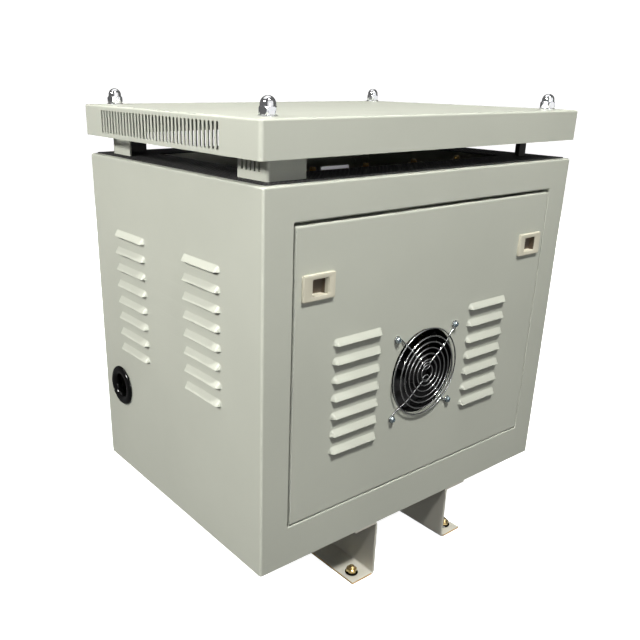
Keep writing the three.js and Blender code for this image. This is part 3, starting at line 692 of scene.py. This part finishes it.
def roof_post(corner, sx, sy):
    """An angle on the grille with a head plate, a collar and a threaded stud."""
    inset_x, inset_y, leg, material = POSTS[corner]

    def at(u, v, z):
        """u and v are insets from the cabinet's side and end."""
        return (sx * (RIGHT - u), MIDDLE_Y + sy * (HALF_DEPTH - v), z)

    bm = bmesh.new()
    bend = 4
    turn = [math.radians(22.5 * k) for k in range(5)]
    skin = [(0, leg)] + [(bend * (1 - math.cos(a)), bend * (1 - math.sin(a))) for a in turn] + [(leg, 0)]
    rows = [[at(inset_x + u, inset_y + v, z) for u, v in skin] for z in (GRILLE_TOP, POST_TOP - 1)]
    slots = []
    for k in range(5 if corner == "front_left" else 0):
        v = inset_y + 13 + k * 7.2
        loop = rounded_loop(v - 1.5, v + 1.5, TOP + 10, TOP + 40, 1.4, 3)
        slots.append([at(inset_x, w, z) for w, z in loop])
    loft(bm, rows, flip=sx * sy < 0, openings={(0, 0): (slots, (sx, 0, 0))}, closed=False)
    angle = piece(f"post_{corner}", bm, [material, BLACK_PAINT_AND_SHADE], [f"roof_post_{corner}"])
    legs = thicken(angle, POST_WALL - 0.6)
    legs.modifiers["thickness"].material_offset = 1     # the inside of the angle is black: painted shade under the roof
    bm = bmesh.new()
    xa, ya, _ = at(min(inset_x, 17), min(inset_y, 18), 0)
    xb, yb, _ = at(inset_x + leg, inset_y + leg, 0)
    outline = rounded_loop(min(xa, xb), max(xa, xb), min(ya, yb), max(ya, yb), 3)
    prism(bm, outline, POST_TOP - POST_WALL, POST_TOP, lambda u, v, w: (u, v, w))
    place = mirrored(sx, sy, STUD_X, STUD_Y)
    collar = [(POST_TOP + 0.1, 8.4), (POST_TOP + 0.7, 9), (ROOF_HIGH - 3, 9), (ROOF_HIGH - 2.3, 8.4)]
    turned(bm, collar, place, 32)
    soften(piece(f"post_head_{corner}", bm, material), 0.5)
    bm = bmesh.new()
    turned(bm, [(ROOF_HIGH - 2.2, 4.6)] + thread(ROOF_HIGH - 2, ROOF_HIGH + 14, 5), place, 24)
    piece(f"post_stud_{corner}", bm, ZINC, angle=50)


def acorn_nut(corner, sx, sy):
    """A domed cap nut with its washer, both chromed."""
    place = mirrored(sx, sy, STUD_X, STUD_Y, ROOF_HIGH) @ Matrix.Rotation(0.3, 4, "Z")
    bm = bmesh.new()
    turned(bm, [(0, 9.6), (0.3, 10), (1.3, 10), (1.6, 9.6)], place, 48)
    hexagon = [(1.65, 8.4), (2, 9.2), (2.6, 9.9), (8.4, 9.9), (9.3, 9.1), (9.9, 8.3), (10, 8)]
    dome = [(12.2 + 7.4 * math.sin(a), 7.9 * math.cos(a)) for a in (math.radians(9 * k) for k in range(10))]
    turned(bm, hexagon + dome, place, 72, 17)
    piece(f"cap_nut_{corner}", bm, CHROME, [f"acorn_nut_{corner}"], 28)


# ---- feet
WEB = 68                       # from the middle of the cabinet to a channel's web
CHANNEL = 40                   # length of its flanges
WALL = 3
BEND = 5                       # outer radius of its bends
FOOT_BOLT_X = WEB + 26
FOOT_BOLT_Y = HALF_DEPTH - 17


def channel_outline(height):
    """Outline of a channel bent from thick sheet."""
    def arc(cx, cz, r, start, end, steps=5):
        turn = [math.radians(start + (end - start) * k / steps) for k in range(steps + 1)]
        return [(cx + r * math.cos(a), cz + r * math.sin(a)) for a in turn]
    tip = WEB + CHANNEL
    low = arc(WEB + BEND, BEND, BEND, 180, 270) + [(tip, 0), (tip, WALL)]
    low += arc(WEB + BEND, BEND, BEND - WALL, 270, 180)
    high = [(u, height - v) for u, v in low[::-1]]
    return low + high


def foot_channel(side, sx):
    """A channel, with the cut edges of its lower flange left bare."""
    height = box(f"foot_channel_{side}")[1].z
    bm = bmesh.new()
    prism(bm, channel_outline(height), FRONT, BACK, lambda u, z, y: (sx * u, y, z))
    for face in bm.faces:
        centre = face.calc_center_median()
        toe = abs(centre.x) > WEB + CHANNEL - 0.4
        face.material_index = 1 if toe and centre.z < height / 2 else 0
    soften(piece(f"channel_{side}", bm, [FOOT_PAINT, BARE_EDGE], [f"foot_channel_{side}"]), 0.5)
    bm = bmesh.new()
    for y in (FRONT - 0.15, BACK - 0.25):
        block(bm, sx * (WEB + BEND), sx * (WEB + CHANNEL + 0.1), y, y + 0.4, 0.1, 2.6)
    piece(f"bare_edge_{side}", bm, BARE_EDGE)


def foot_fixing(corner, sx, sy):
    """A countersunk bolt from below, with a black washer and a hexagon nut on the flange."""
    place = mirrored(sx, sy, FOOT_BOLT_X, FOOT_BOLT_Y)
    on_flange = mirrored(sx, sy, FOOT_BOLT_X, FOOT_BOLT_Y, WALL)
    bm = bmesh.new()
    turned(bm, [(0.3, 6.3), (0.7, 6.4), (2.2, 4), (3, 3.6)] + thread(3, 13.8, 4), place, 24)
    piece(f"fixing_bolt_{corner}", bm, GOLD_ZINC, [f"foot_bolt_{corner}"], 50)
    bm = bmesh.new()
    nut = [(1.9, 6), (2.3, 6.9), (2.9, 7.5), (6.2, 7.5), (6.9, 6.9), (7.3, 6)]
    turned(bm, nut, on_flange, 72, 13)
    piece(f"fixing_nut_{corner}", bm, GOLD_ZINC, [f"foot_nut_{corner}"], 28)
    bm = bmesh.new()
    turned(bm, [(0.05, 8.2), (0.4, 8.6), (1.5, 8.6), (1.85, 8.2)], on_flange, 48)
    piece(f"fixing_washer_{corner}", bm, RUBBER)


cabinet_shell()
opening_returns()
back_cover()
top_grille()
grommet()
roof_tray()
for corner_name, side_x, side_y in CORNERS:
    roof_post(corner_name, side_x, side_y)
    acorn_nut(corner_name, side_x, side_y)
for side_name, side_x in SIDES:
    foot_channel(side_name, side_x)
    for end_name, side_y in (("front", -1), ("back", 1)):
        foot_fixing(f"{end_name}_{side_name}", side_x, side_y)


# ---- lift-off front panel
PANEL_LOW, PANEL_HIGH = BASE + 53, box("front_panel")[1].z
PANEL_LEFT, PANEL_RIGHT = -218.2, 219.4     # the panel hangs a little to the right
PANEL_FIRST = BASE + 272.8     # upper crease of its highest louvres
PANEL_ROWS = 7
FAN_X, FAN_Z = -5.7, BASE + 198.3
FAN_HOLE = 56
FAN_PITCH = 105
SCREWS = {"top_left": (-1, 1), "top_right": (1, 1), "bottom_left": (-1, -1), "bottom_right": (1, -1)}
LATCH_X, LATCH_Z = 186.5, BASE + 337
FACING = Matrix.Translation((FAN_X, FRONT, FAN_Z)) @ Matrix.Rotation(-math.pi / 2, 4, "X")


def front_panel():
    """A tray with folded edges: louvres, the fan's hole, latch windows and two flat tabs."""
    bm = bmesh.new()
    bend = 2.4
    levels = [(grow, FRONT + depth) for grow, depth in fold(bend, 5)] + [(0, FRONT + 15.7)]
    edges = (PANEL_LEFT, PANEL_RIGHT, PANEL_LOW, PANEL_HIGH)
    loops = [upright(y, rounded_loop(*edges, 2.6, 3, grow)) for grow, y in levels]
    slots = {}
    for side, x, out in ((7, PANEL_RIGHT, 1), (15, PANEL_LEFT, -1)):
        slot = sideways(x, rounded_loop(FRONT + 7.2, FRONT + 12.4, LATCH_Z - 5.6, LATCH_Z + 5.6, 0.8))
        slots[(len(levels) - 2, side)] = ([slot], (out, 0, 0))
    rows = loft(bm, loops, flip=True, openings=slots)
    columns = (FAN_X - COLUMN_APART, FAN_X + COLUMN_APART)
    holes = louvres(bm, columns, PANEL_FIRST, PANEL_ROWS, on_front)
    holes.append(upright(FRONT, circle_loop(FAN_X, FAN_Z, FAN_HOLE, 96)))
    for x in (-LATCH_X, LATCH_X):
        holes.append(upright(FRONT, rounded_loop(x - 20.4, x + 20.4, LATCH_Z - 13, LATCH_Z + 13, 1)))
    fill(bm, rows[0], [new_loop(bm, hole) for hole in holes], (0, -1, 0))
    thicken(piece("louvred_panel", bm, PAINT, ["front_panel"], body="front_panel"))
    bm = bmesh.new()
    for x in (-150, 150):
        tab = rounded_loop(x - 20, x + 20, PANEL_LOW - 12, PANEL_LOW + 14, 2)
        prism(bm, tab, FRONT + 2.3, FRONT + 4.2, lambda u, v, w: (u, w, v))
    soften(piece("panel_tabs", bm, PAINT, body="front_panel"), 0.3)


def latch(side, sx):
    """A moulded cup with a framed finger window, and its slider: a curved ramp and a bolt."""
    def at(a, y, z):
        """a runs outwards from the middle of the cup, z up from it."""
        return (sx * (LATCH_X + a), FRONT + y, LATCH_Z + z)

    def ring(a, z, y, radius, shift=0):
        return [at(u, y, v) for u, v in rounded_loop(-a + shift, a + shift, -z, z, radius)]

    bm = bmesh.new()
    shift, a, z = -1.5, 11.3, 9
    loops = [ring(19.6, 12.1, 8.5, 2), ring(20, 12.5, 8.1, 2.4), ring(20, 12.5, 0, 2.4),
             ring(22.25, 14.5, -0.05, 1.6), ring(22.25, 14.5, -2.7, 1.6), ring(22.05, 14.3, -3.2, 1.5),
             ring(21.6, 13.85, -3.45, 1.2), ring(21.2, 13.4, -3.5, 1),
             ring(a + 0.8, z + 0.8, -3.5, 2.2, shift), ring(a + 0.3, z + 0.3, -3.3, 2.1, shift),
             ring(a, z, -2.7, 2, shift), ring(a, z, 4.3, 2, shift), ring(a - 0.5, z - 0.5, 4.8, 1.8, shift)]
    solid(bm, loops)
    # The window's floor and its top and side walls take the dark brown, partly the brown plastic behind and
    # partly painted shade; the upward-facing bottom wall stays ivory
    for face in bm.faces:
        centre = face.calc_center_median()
        inside = -z + 0.5 < centre.z - LATCH_Z < z + 0.2 and centre.y - FRONT > -1.6
        face.material_index = 1 if inside and abs(abs(centre.x) - LATCH_X - shift) < a + 0.2 else 0
    piece(f"cup_{side}", bm, [IVORY, BOLT_BROWN_AND_SHADE], [f"latch_cup_{side}"], 40, "front_panel")
    bm = bmesh.new()
    for sz in (-1, 1):
        block(bm, *(sx * (LATCH_X + a) for a in (-14, 19)), FRONT + 8.3, FRONT + 12.6,
              LATCH_Z + sz * 5, LATCH_Z + sz * 7)
    soften(piece(f"bolt_guides_{side}", bm, IVORY, body="front_panel"), 0.3)

    bm = bmesh.new()
    curve = [(-12.7, 4.1), (-12.7, -2.9)]
    for k in range(25):
        t = k / 24
        grip = 0.35 * math.sin(math.pi * 6 * t) ** 2 if t < 0.5 else 0
        curve.append((-12.2 + 4.2 * t, -3.1 + 7.2 * (t * t * (3 - 2 * t)) ** 1.1 - grip))
    prism(bm, curve, -8.6, 8.6, at)
    for face in bm.faces:       # the deep end of the ramp gets the pocket's dark brown: painted shade
        face.material_index = 1 if face.calc_center_median().y - FRONT > 0.4 else 0
    body = f"latch_{side}"
    soften(piece(f"finger_ramp_{side}", bm, [IVORY, BOLT_BROWN_AND_SHADE], [f"latch_slider_{side}"], 50, body), 0.35)
    bm = bmesh.new()
    tip = [(-12.6, 8.6), (30, 8.6), (32, 9.6), (32, 11), (-12.6, 11)]
    prism(bm, tip, -4.4, 4.4, at)
    soften(piece(f"bolt_{side}", bm, BOLT_BROWN_AND_SHADE, body=body), 0.3)


# ---- fan
def fan_point(x, z, y):
    """From the fan's own middle to the row frame, y behind the panel's face."""
    return (FAN_X + x, FRONT + y, FAN_Z + z)


def fan_frame():
    """Two square flanges joined by a barrel, corner bosses, and a motor mount on four spokes."""
    bm = bmesh.new()
    h = 59.5
    for y0, y1 in ((2, 6), (36, 40)):
        shape = [(grow, y0 + depth) for grow, depth in fold(0.6, 2)]
        shape += [(grow, y1 - depth) for grow, depth in fold(0.6, 2)[::-1]]
        loops = [[fan_point(x, z, y) for x, z in rounded_loop(-h, h, -h, h, 5, 4, grow)] for grow, y in shape]
        rows = loft(bm, loops, flip=True)
        mouth = 57 if y0 > 10 else 57.6
        near = new_loop(bm, [fan_point(x, z, y0) for x, z in circle_loop(0, 0, mouth, 72)])
        far = new_loop(bm, [fan_point(x, z, y1) for x, z in circle_loop(0, 0, 57, 72)])
        fill(bm, rows[0], [near], (0, -1, 0))
        fill(bm, rows[-1], [far], (0, 1, 0))
        band(bm, near, far)
    turned(bm, [(5, 57), (5, 59.2), (37, 59.2), (37, 57)], FACING, 72, ring=True)
    for sx, sz in SCREWS.values():
        boss = FACING @ Matrix.Translation((sx * FAN_PITCH / 2, sz * FAN_PITCH / 2, 0))
        turned(bm, [(6, 2.6), (6, 5.2), (36, 5.2), (36, 2.6)], boss, 16, ring=True)
    for quarter in range(4):
        spoke = rounded_loop(18, 58, -4, 4, 0.5, 1)
        turn = Matrix.Rotation(quarter * math.pi / 2, 4, "Z")
        prism(bm, spoke, 35.2, 39.6, lambda u, v, w: FACING @ turn @ Vector((u, v, w)))
    turned(bm, [(33.5, 20.6), (34.2, 21.8), (38.8, 22), (39.6, 21.2)], FACING, 48)
    turned(bm, [(29.4, 3), (34, 3)], FACING, 16)
    outward(bm)
    piece("fan_housing", bm, FAN_BLACK, ["fan_frame"], body="front_panel")


def fan_rotor():
    """A domed hub and seven curved, twisted blades."""
    bm = bmesh.new()
    hub = [(7.6, 7.8), (7, 8.6), (7, 16), (7.5, 18.4), (8.4, 19.6), (9.8, 20), (29, 20)]
    turned(bm, hub, FACING, 56)
    blades, m, n = 7, 7, 9      # m steps from the hub to the tip, n steps along the chord

    def blade_point(start, side, t, s):
        """t runs from the hub to the tip, s along the chord. side is 1 on one face and -1 on the other."""
        radius = 19 + 35 * t
        angle = start + (0.62 - 0.07 * t) * s + 0.24 * t * t
        half_thick = 0.25 + 0.75 * (1 - (2 * abs(s)) ** 4)
        y = 18 + (17 - 6 * t) * (s + 0.308 * (0.25 - s * s)) + side * half_thick
        return FACING @ Vector((radius * math.cos(angle), radius * math.sin(angle), y))

    for index in range(blades):
        start = 2 * math.pi * index / blades
        front, back = (net(bm, [[blade_point(start, side, i / m, j / n - 0.5) for j in range(n + 1)]
                                for i in range(m + 1)]) for side in (1, -1))
        rim = [(i, 0) for i in range(m)] + [(m, j) for j in range(n)]
        rim += [(i, n) for i in range(m, 0, -1)] + [(0, j) for j in range(n, 0, -1)]
        band(bm, [front[i][j] for i, j in rim], [back[i][j] for i, j in rim])
    outward(bm)
    piece("rotor", bm, FAN_BLACK, ["fan_rotor"], 40, "fan")


GUARD_RINGS = ((10, -7), (17.5, -7), (25, -7), (32.5, -7), (40, -7), (47.5, -7), (57, -4.4))
LEG_DROP = ((42, -5.6), (47.5, -5.2), (52, -4.2), (57, -2.6), (62, -1.7), (68, -1.3))
EYE_Z = 8.5


def leg_depth(radius):
    """Where a guard leg runs in front of the panel, at a distance from the fan's middle."""
    if radius <= LEG_DROP[0][0]:
        return LEG_DROP[0][1]
    for (r0, y0), (r1, y1) in zip(LEG_DROP, LEG_DROP[1:]):
        if radius <= r1:
            return y0 + (y1 - y0) * (radius - r0) / (r1 - r0)
    return LEG_DROP[-1][1]


def fan_guard():
    """Rings in front of bent legs. Each leg runs from an eye near the middle to a loop round a screw."""
    bm = bmesh.new()
    wire = 0.9
    for radius, y in GUARD_RINGS:
        count = 96 if radius > 20 else 56
        tube(bm, [fan_point(x, z, y) for x, z in circle_loop(0, 0, radius, count)], wire, 10, closed=True)
    loop_radius = 4
    for sx, sz in SCREWS.values():
        screw = Vector((sx, sz)) * FAN_PITCH / 2
        end = Vector((sx * 5.4, sz * (EYE_Z + 2.4)))
        away = end - screw
        start = math.atan2(away.y, away.x) + math.acos(loop_radius / away.length)
        path = []
        for k in range(19):
            a = start + 5.6 * (1 - k / 18)
            path.append(screw + Vector((math.cos(a), math.sin(a))) * loop_radius)
        tangent = path[-1]
        path += [tangent.lerp(end, k / 24) for k in range(1, 25)]
        tube(bm, [fan_point(p.x, p.y, leg_depth(p.length)) for p in path], wire, 10)
    for sz in (-1, 1):
        eye = [fan_point(x, sz * EYE_Z + z * 0.72, -5.6) for x, z in circle_loop(0, 0, 6, 28)]
        tube(bm, eye, wire, 10, closed=True)
    piece("wire_guard", bm, GUARD_CHROME_SHADED, ["fan_guard"], 60, "front_panel")


def fan_screw(name, sx, sz):
    """A pan-head screw with a cross recess."""
    place = FACING @ Matrix.Translation((sx * FAN_PITCH / 2, -sz * FAN_PITCH / 2, 0))
    place = place @ Matrix.Rotation(0.5 + sx * 0.7 + sz * 1.3, 4, "Z")
    bm = bmesh.new()
    arm, slot = 2, 0.55
    cross = [(arm, -slot), (arm, slot), (slot, slot), (slot, arm), (-slot, arm), (-slot, slot),
             (-arm, slot), (-arm, -slot), (-slot, -slot), (-slot, -arm), (slot, -arm), (slot, -slot)]
    profile = [(34, 1.9), (-2.4, 2.1), (-2.4, 3.8), (-3.2, 3.95), (-4.3, 3.8), (-5.1, 3.3), (-5.6, 2.5)]
    rows = []
    for w, r in profile:
        rows.append(new_loop(bm, [place @ Vector((x, y, w)) for x, y in circle_loop(0, 0, r, 40)]))
    for low, high in zip(rows, rows[1:]):
        band(bm, low, high)
    cap(bm, rows[0])
    mouth = new_loop(bm, [place @ Vector((x, y, -5.65)) for x, y in cross])
    deep = new_loop(bm, [place @ Vector((x * 0.62, y * 0.62, -4)) for x, y in cross])
    fill(bm, rows[-1], [mouth], place.to_3x3() @ Vector((0, 0, -1)))
    band(bm, mouth, deep)
    cap(bm, deep)
    outward(bm)
    piece(f"pan_screw_{name}", bm, ZINC, [f"fan_screw_{name}"], 30, "front_panel")


front_panel()
for side_name, side_x in SIDES:
    latch(side_name, side_x)
fan_frame()
fan_rotor()
fan_guard()
for screw_name, (side_x, side_z) in SCREWS.items():
    fan_screw(screw_name, side_x, side_z)


# ---- core, coils and clamps
CORE_LOW, CORE_HIGH = box("core_bottom_yoke")[0], box("core_top_yoke")[1]
LEG_LOW, LEG_HIGH = box("core_leg_a")
CORE_Y = (CORE_LOW.y + CORE_HIGH.y) / 2


def core_stack(name, node):
    """Stacked sheets, stepped three times towards front and back."""
    low, high = box(node)
    bm = bmesh.new()
    standing = high.x - low.x < high.z - low.z
    for inset, depth in ((0, 26), (3, 34), (6, 38)):
        du, dw = (inset, 0) if standing else (0, inset)
        block(bm, low.x + du, high.x - du, CORE_Y - depth, CORE_Y + depth, low.z + dw, high.z - dw)
    soften(piece(name, bm, CORE_STEEL, [node]), 0.5)


def hollow(bm, loops, inner):
    """A solid through level loops of points, lowest first, with a straight hole through it."""
    rows = loft(bm, loops)
    walls = loft(bm, [level(z, inner) for z in (loops[0][0][2], loops[-1][0][2])], flip=True)
    fill(bm, rows[0], [walls[0]], (0, 0, -1))
    fill(bm, rows[-1], [walls[-1]], (0, 0, 1))


def coil(phase):
    """Varnished turns of strip between two pressboard collars, with duct sticks round the outside."""
    low, high = box(f"coil_{phase}")
    bm = bmesh.new()
    collar = 6
    pitch = 6.6
    turns = int((high.z - low.z - 2 * collar) / pitch)
    start = (low.z + high.z - turns * pitch) / 2
    levels = []
    for k in range(turns):
        z = start + k * pitch
        levels += [(z + 0.15, -4.4), (z + 0.7, -3.4), (z + 1.6, -3), (z + pitch - 1.6, -3),
                   (z + pitch - 0.7, -3.4), (z + pitch - 0.15, -4.4)]
    shape = (low.x, high.x, low.y, high.y, 22, 6)
    inner = rounded_loop(low.x + 35, high.x - 35, low.y + 35, high.y - 35, 3, 2)
    hollow(bm, [level(z, rounded_loop(*shape, grow)) for z, grow in levels], inner)
    piece(f"winding_{phase}", bm, VARNISH, [f"coil_{phase}"], 50)
    bm = bmesh.new()
    for z0, z1 in ((low.z, low.z + collar - 0.4), (high.z - collar + 0.4, high.z)):
        hollow(bm, [level(z, rounded_loop(*shape)) for z in (z0, z1)], inner)
    middle = (low.x + high.x) / 2
    for sy, y in ((-1, low.y), (1, high.y)):
        for x in (-27, -9, 9, 27):
            block(bm, middle + x - 2, middle + x + 2, y - sy * 0.2, y - sy * 3.4, low.z + 2, high.z - 2)
    outward(bm)
    soften(piece(f"coil_collars_{phase}", bm, PAPER), 0.4)


def clamp(name):
    """Angle iron along a yoke, with a hexagon bolt near each end."""
    low, high = box(name)
    top = "top" in name
    sy = -1 if "front" in name else 1
    near = high.y if sy < 0 else low.y
    wall = 4
    bend = 4
    z0, z1 = (high.z, low.z) if top else (low.z, high.z)
    up = 1 if z1 > z0 else -1
    turn = [math.radians(22.5 * k) for k in (1, 2, 3)]
    outline = [(0, z1), (0, z0 + up * bend)]
    outline += [(bend * (1 - math.sin(a)), z0 + up * bend * (1 - math.cos(a))) for a in turn]
    outline += [(bend, z0), (34, z0), (34, z0 + up * wall), (wall, z0 + up * wall), (wall, z1)]
    bm = bmesh.new()
    prism(bm, outline, low.x, high.x, lambda u, z, x: (x, near + sy * u, z))
    soften(piece(f"{name}_iron", bm, BLACK_PAINT_AND_SHADE, [name]), 0.5)
    bm = bmesh.new()
    middle = (CORE_LOW.z + LEG_LOW.z) / 2 if not top else (CORE_HIGH.z + LEG_HIGH.z) / 2
    for x in (-148, -66, 66, 148):
        place = toward((0, sy, 0), (x, near + sy * wall, middle))
        turned(bm, [(0.1, 8.5), (0.4, 9), (1.4, 9), (1.7, 8.6)], place, 32)
        turned(bm, [(1.8, 6.8), (2.3, 7.5), (7, 7.5), (7.8, 6.6)], place, 48, 13)
    piece(f"{name}_bolts", bm, ZINC, angle=28)


# ---- terminals
STUD_PITCH = 84


def terminal_board():
    """The board with a hole for each stud, and a short plated strip that leans beside the first."""
    low, high = box("terminal_board")
    bm = bmesh.new()
    levels = [(-0.6, low.z), (0, low.z + 0.6), (0, high.z - 0.6), (-0.6, high.z)]
    edges = (low.x, high.x, low.y, high.y)
    rows = loft(bm, [level(z, rounded_loop(*edges, 4, 4, grow)) for grow, z in levels])
    holes = [circle_loop((k - 1.5) * STUD_PITCH, (low.y + high.y) / 2, 4.8, 20) for k in range(4)]
    down = [new_loop(bm, level(low.z, hole)) for hole in holes]
    up = [new_loop(bm, level(high.z, hole)) for hole in holes]
    fill(bm, rows[0], down, (0, 0, -1))
    fill(bm, rows[-1], up, (0, 0, 1))
    for lower, upper in zip(down, up):
        band(bm, upper, lower)
    weigh(piece("board", bm, LAMINATE, ["terminal_board"]))
    bm = bmesh.new()
    strip = [(-8, 0.05), (-5, 0.05), (-3.2, 11), (-6.2, 11)]
    prism(bm, strip, -101, -57, lambda y, z, x: (x, high.y + y, high.z + z))
    soften(piece("link_strip", bm, PLATED), 0.8)


def as_packed(name, material, width):
    """A CAD node that is shown as it is, with a finish and rounded edges."""
    node = frame["nodes"][name]
    node.data.materials.clear()
    node.data.materials.append(material)
    soften(node, width)


def terminal_stud(index):
    """A threaded stud with a nut under the board, and a washer, a nut and a washer on it."""
    low, high = box(f"terminal_stud_{index}")
    board_low, board_high = box("terminal_board")
    x, y = (low.x + high.x) / 2, (low.y + high.y) / 2
    place = Matrix.Translation((x, y, 0)) @ Matrix.Rotation(index * 0.7, 4, "Z")
    bm = bmesh.new()
    turned(bm, [(low.z, 3.2)] + thread(low.z + 0.6, high.z, 4), place, 28)
    nut = [(0, 6), (0.6, 7.2), (4.6, 7.2), (5.2, 6.2)]
    for z in (board_low.z - 6.3, board_high.z + 1.6):
        turned(bm, nut, place @ Matrix.Translation((0, 0, z)), 60, 13)
    for washer in ([(0.1, 8.2), (0.3, 8.5), (1.2, 8.5), (1.5, 8.2)],
                   [(6.9, 7), (7.1, 7.4), (8, 7.4), (8.3, 7)]):
        turned(bm, washer, place @ Matrix.Translation((0, 0, board_high.z)), 36)
    piece(f"stud_{index}", bm, BRASS, [f"terminal_stud_{index}"], 30)


for part in ("bottom_yoke", "top_yoke", "leg_a", "leg_b", "leg_c"):
    core_stack(f"laminations_{part}", f"core_{part}")
for phase_name in "abc":
    coil(phase_name)
for level_name in ("bottom", "top"):
    for end_name in ("front", "back"):
        clamp(f"yoke_clamp_{level_name}_{end_name}")
terminal_board()
as_packed("terminal_bracket", BLACK_PAINT_AND_SHADE, 0.5)
for number in range(1, 5):
    terminal_stud(number)
as_packed("floor_pan", PAINT, 0.4)


# ---- floor, lights and camera
def studio_piece(name, corners, glow, seen_in_gloss=True):
    """A flat white sheet of the studio. It throws no diffuse light back at the object."""
    bm = bmesh.new()
    bm.faces.new(new_loop(bm, corners))
    obj = to_object(name, bm)
    n = Nodes(name)
    paper = n.mottle(n.noise(2), (0.6, 0.6, 0.6), 1, 1.05, 0.4, 0.6)
    obj.data.materials.append(n.finish(Base_Color=paper, Roughness=0.8, Emission_Color=(1, 1, 1, 1),
                                       Emission_Strength=glow))
    obj.visible_diffuse = False
    obj.visible_glossy = seen_in_gloss
    return obj


def area_light(name, location, target, size, power, colour=(1, 1, 1), seen_in_gloss=True):
    data = bpy.data.lights.new(name, "AREA")
    data.shape = "RECTANGLE"
    data.size, data.size_y = size
    data.energy = power
    data.color = colour
    obj = new_object(name, data)
    obj.location = location
    obj.rotation_euler = (Vector(target) - Vector(location)).to_track_quat("-Z", "Y").to_euler()
    obj.visible_camera = False
    obj.visible_glossy = seen_in_gloss


def camera():
    """A three-quarter view from the front left and above."""
    eye = Vector((-0.67645, -0.74779, 0.62453))
    ahead = Vector((0.5743, 0.7381, -0.3542)).normalized()
    up = Vector((0.20675, 0.28782, 0.9351))
    right = ahead.cross(up).normalized()
    up = right.cross(ahead)
    data = bpy.data.cameras.new("camera")
    data.sensor_width = 36
    data.lens = 40.883
    data.shift_x = 0.0711
    data.shift_y = 0.0507
    data.clip_start = 0.01
    obj = new_object("camera", data)
    basis = Matrix((right, up, -ahead)).transposed().to_4x4()
    obj.matrix_world = Matrix.Translation(eye) @ basis
    bpy.context.scene.camera = obj


def world(strength):
    surroundings = bpy.data.worlds.new("studio")
    surroundings.use_nodes = True
    background = surroundings.node_tree.nodes["Background"]
    background.inputs["Color"].default_value = (1, 1, 1, 1)
    background.inputs["Strength"].default_value = strength
    bpy.context.scene.world = surroundings


bpy.context.scene.view_settings.view_transform = "Standard"
FAR = 6                      # from the middle of the floor to each backdrop, in metres
WALL_TOP = 5
FLOOR_GLOW = 0.96
CARD_GLOW = 0.78
square = ((-FAR, -FAR, 0), (FAR, -FAR, 0), (FAR, FAR, 0), (-FAR, FAR, 0))
studio_piece("floor", square, FLOOR_GLOW, seen_in_gloss=False)
for quarter in range(4):
    turn = Matrix.Rotation(quarter * math.pi / 2, 3, "Z")
    wall = ((-FAR, FAR, 0), (FAR, FAR, 0), (FAR, FAR, WALL_TOP), (-FAR, FAR, WALL_TOP))
    studio_piece(f"backdrop_{quarter}", [turn @ Vector(corner) for corner in wall], 1, seen_in_gloss=False)
overhead = ((-1.6, -0.2, 2.9), (1.4, -0.2, 2.9), (1.4, 1.8, 2.9), (-1.6, 1.8, 2.9))
in_front = ((-4, -4.5, 0), (4, -4.5, 0), (4, -4.5, 4), (-4, -4.5, 4))
for name, corners in (("overhead_card", overhead), ("front_card", in_front)):
    card = studio_piece(name, corners, CARD_GLOW)
    card.visible_camera = False
    card.visible_shadow = False
MIDDLE = (0, 0, 0.3)           # what most of the lights are aimed at
area_light("key_front", (-0.32, -1.35, 2.6), MIDDLE, (0.3, 0.3), 96, (1, 0.995, 0.965))
area_light("key_left", (-2, -0.1, 1.6), MIDDLE, (0.45, 0.45), 66, (1, 0.99, 0.965))
area_light("fill_low", (-0.45, -2.1, 0.66), (0, 0, 0.5), (0.3, 0.2), 5)
area_light("fill_right", (2.5, 1.2, 0.75), MIDDLE, (0.6, 0.6), 50, seen_in_gloss=False)
area_light("fill_back", (1.4, 2.5, 0.75), MIDDLE, (0.6, 0.6), 50, seen_in_gloss=False)
world(0.14)
camera()
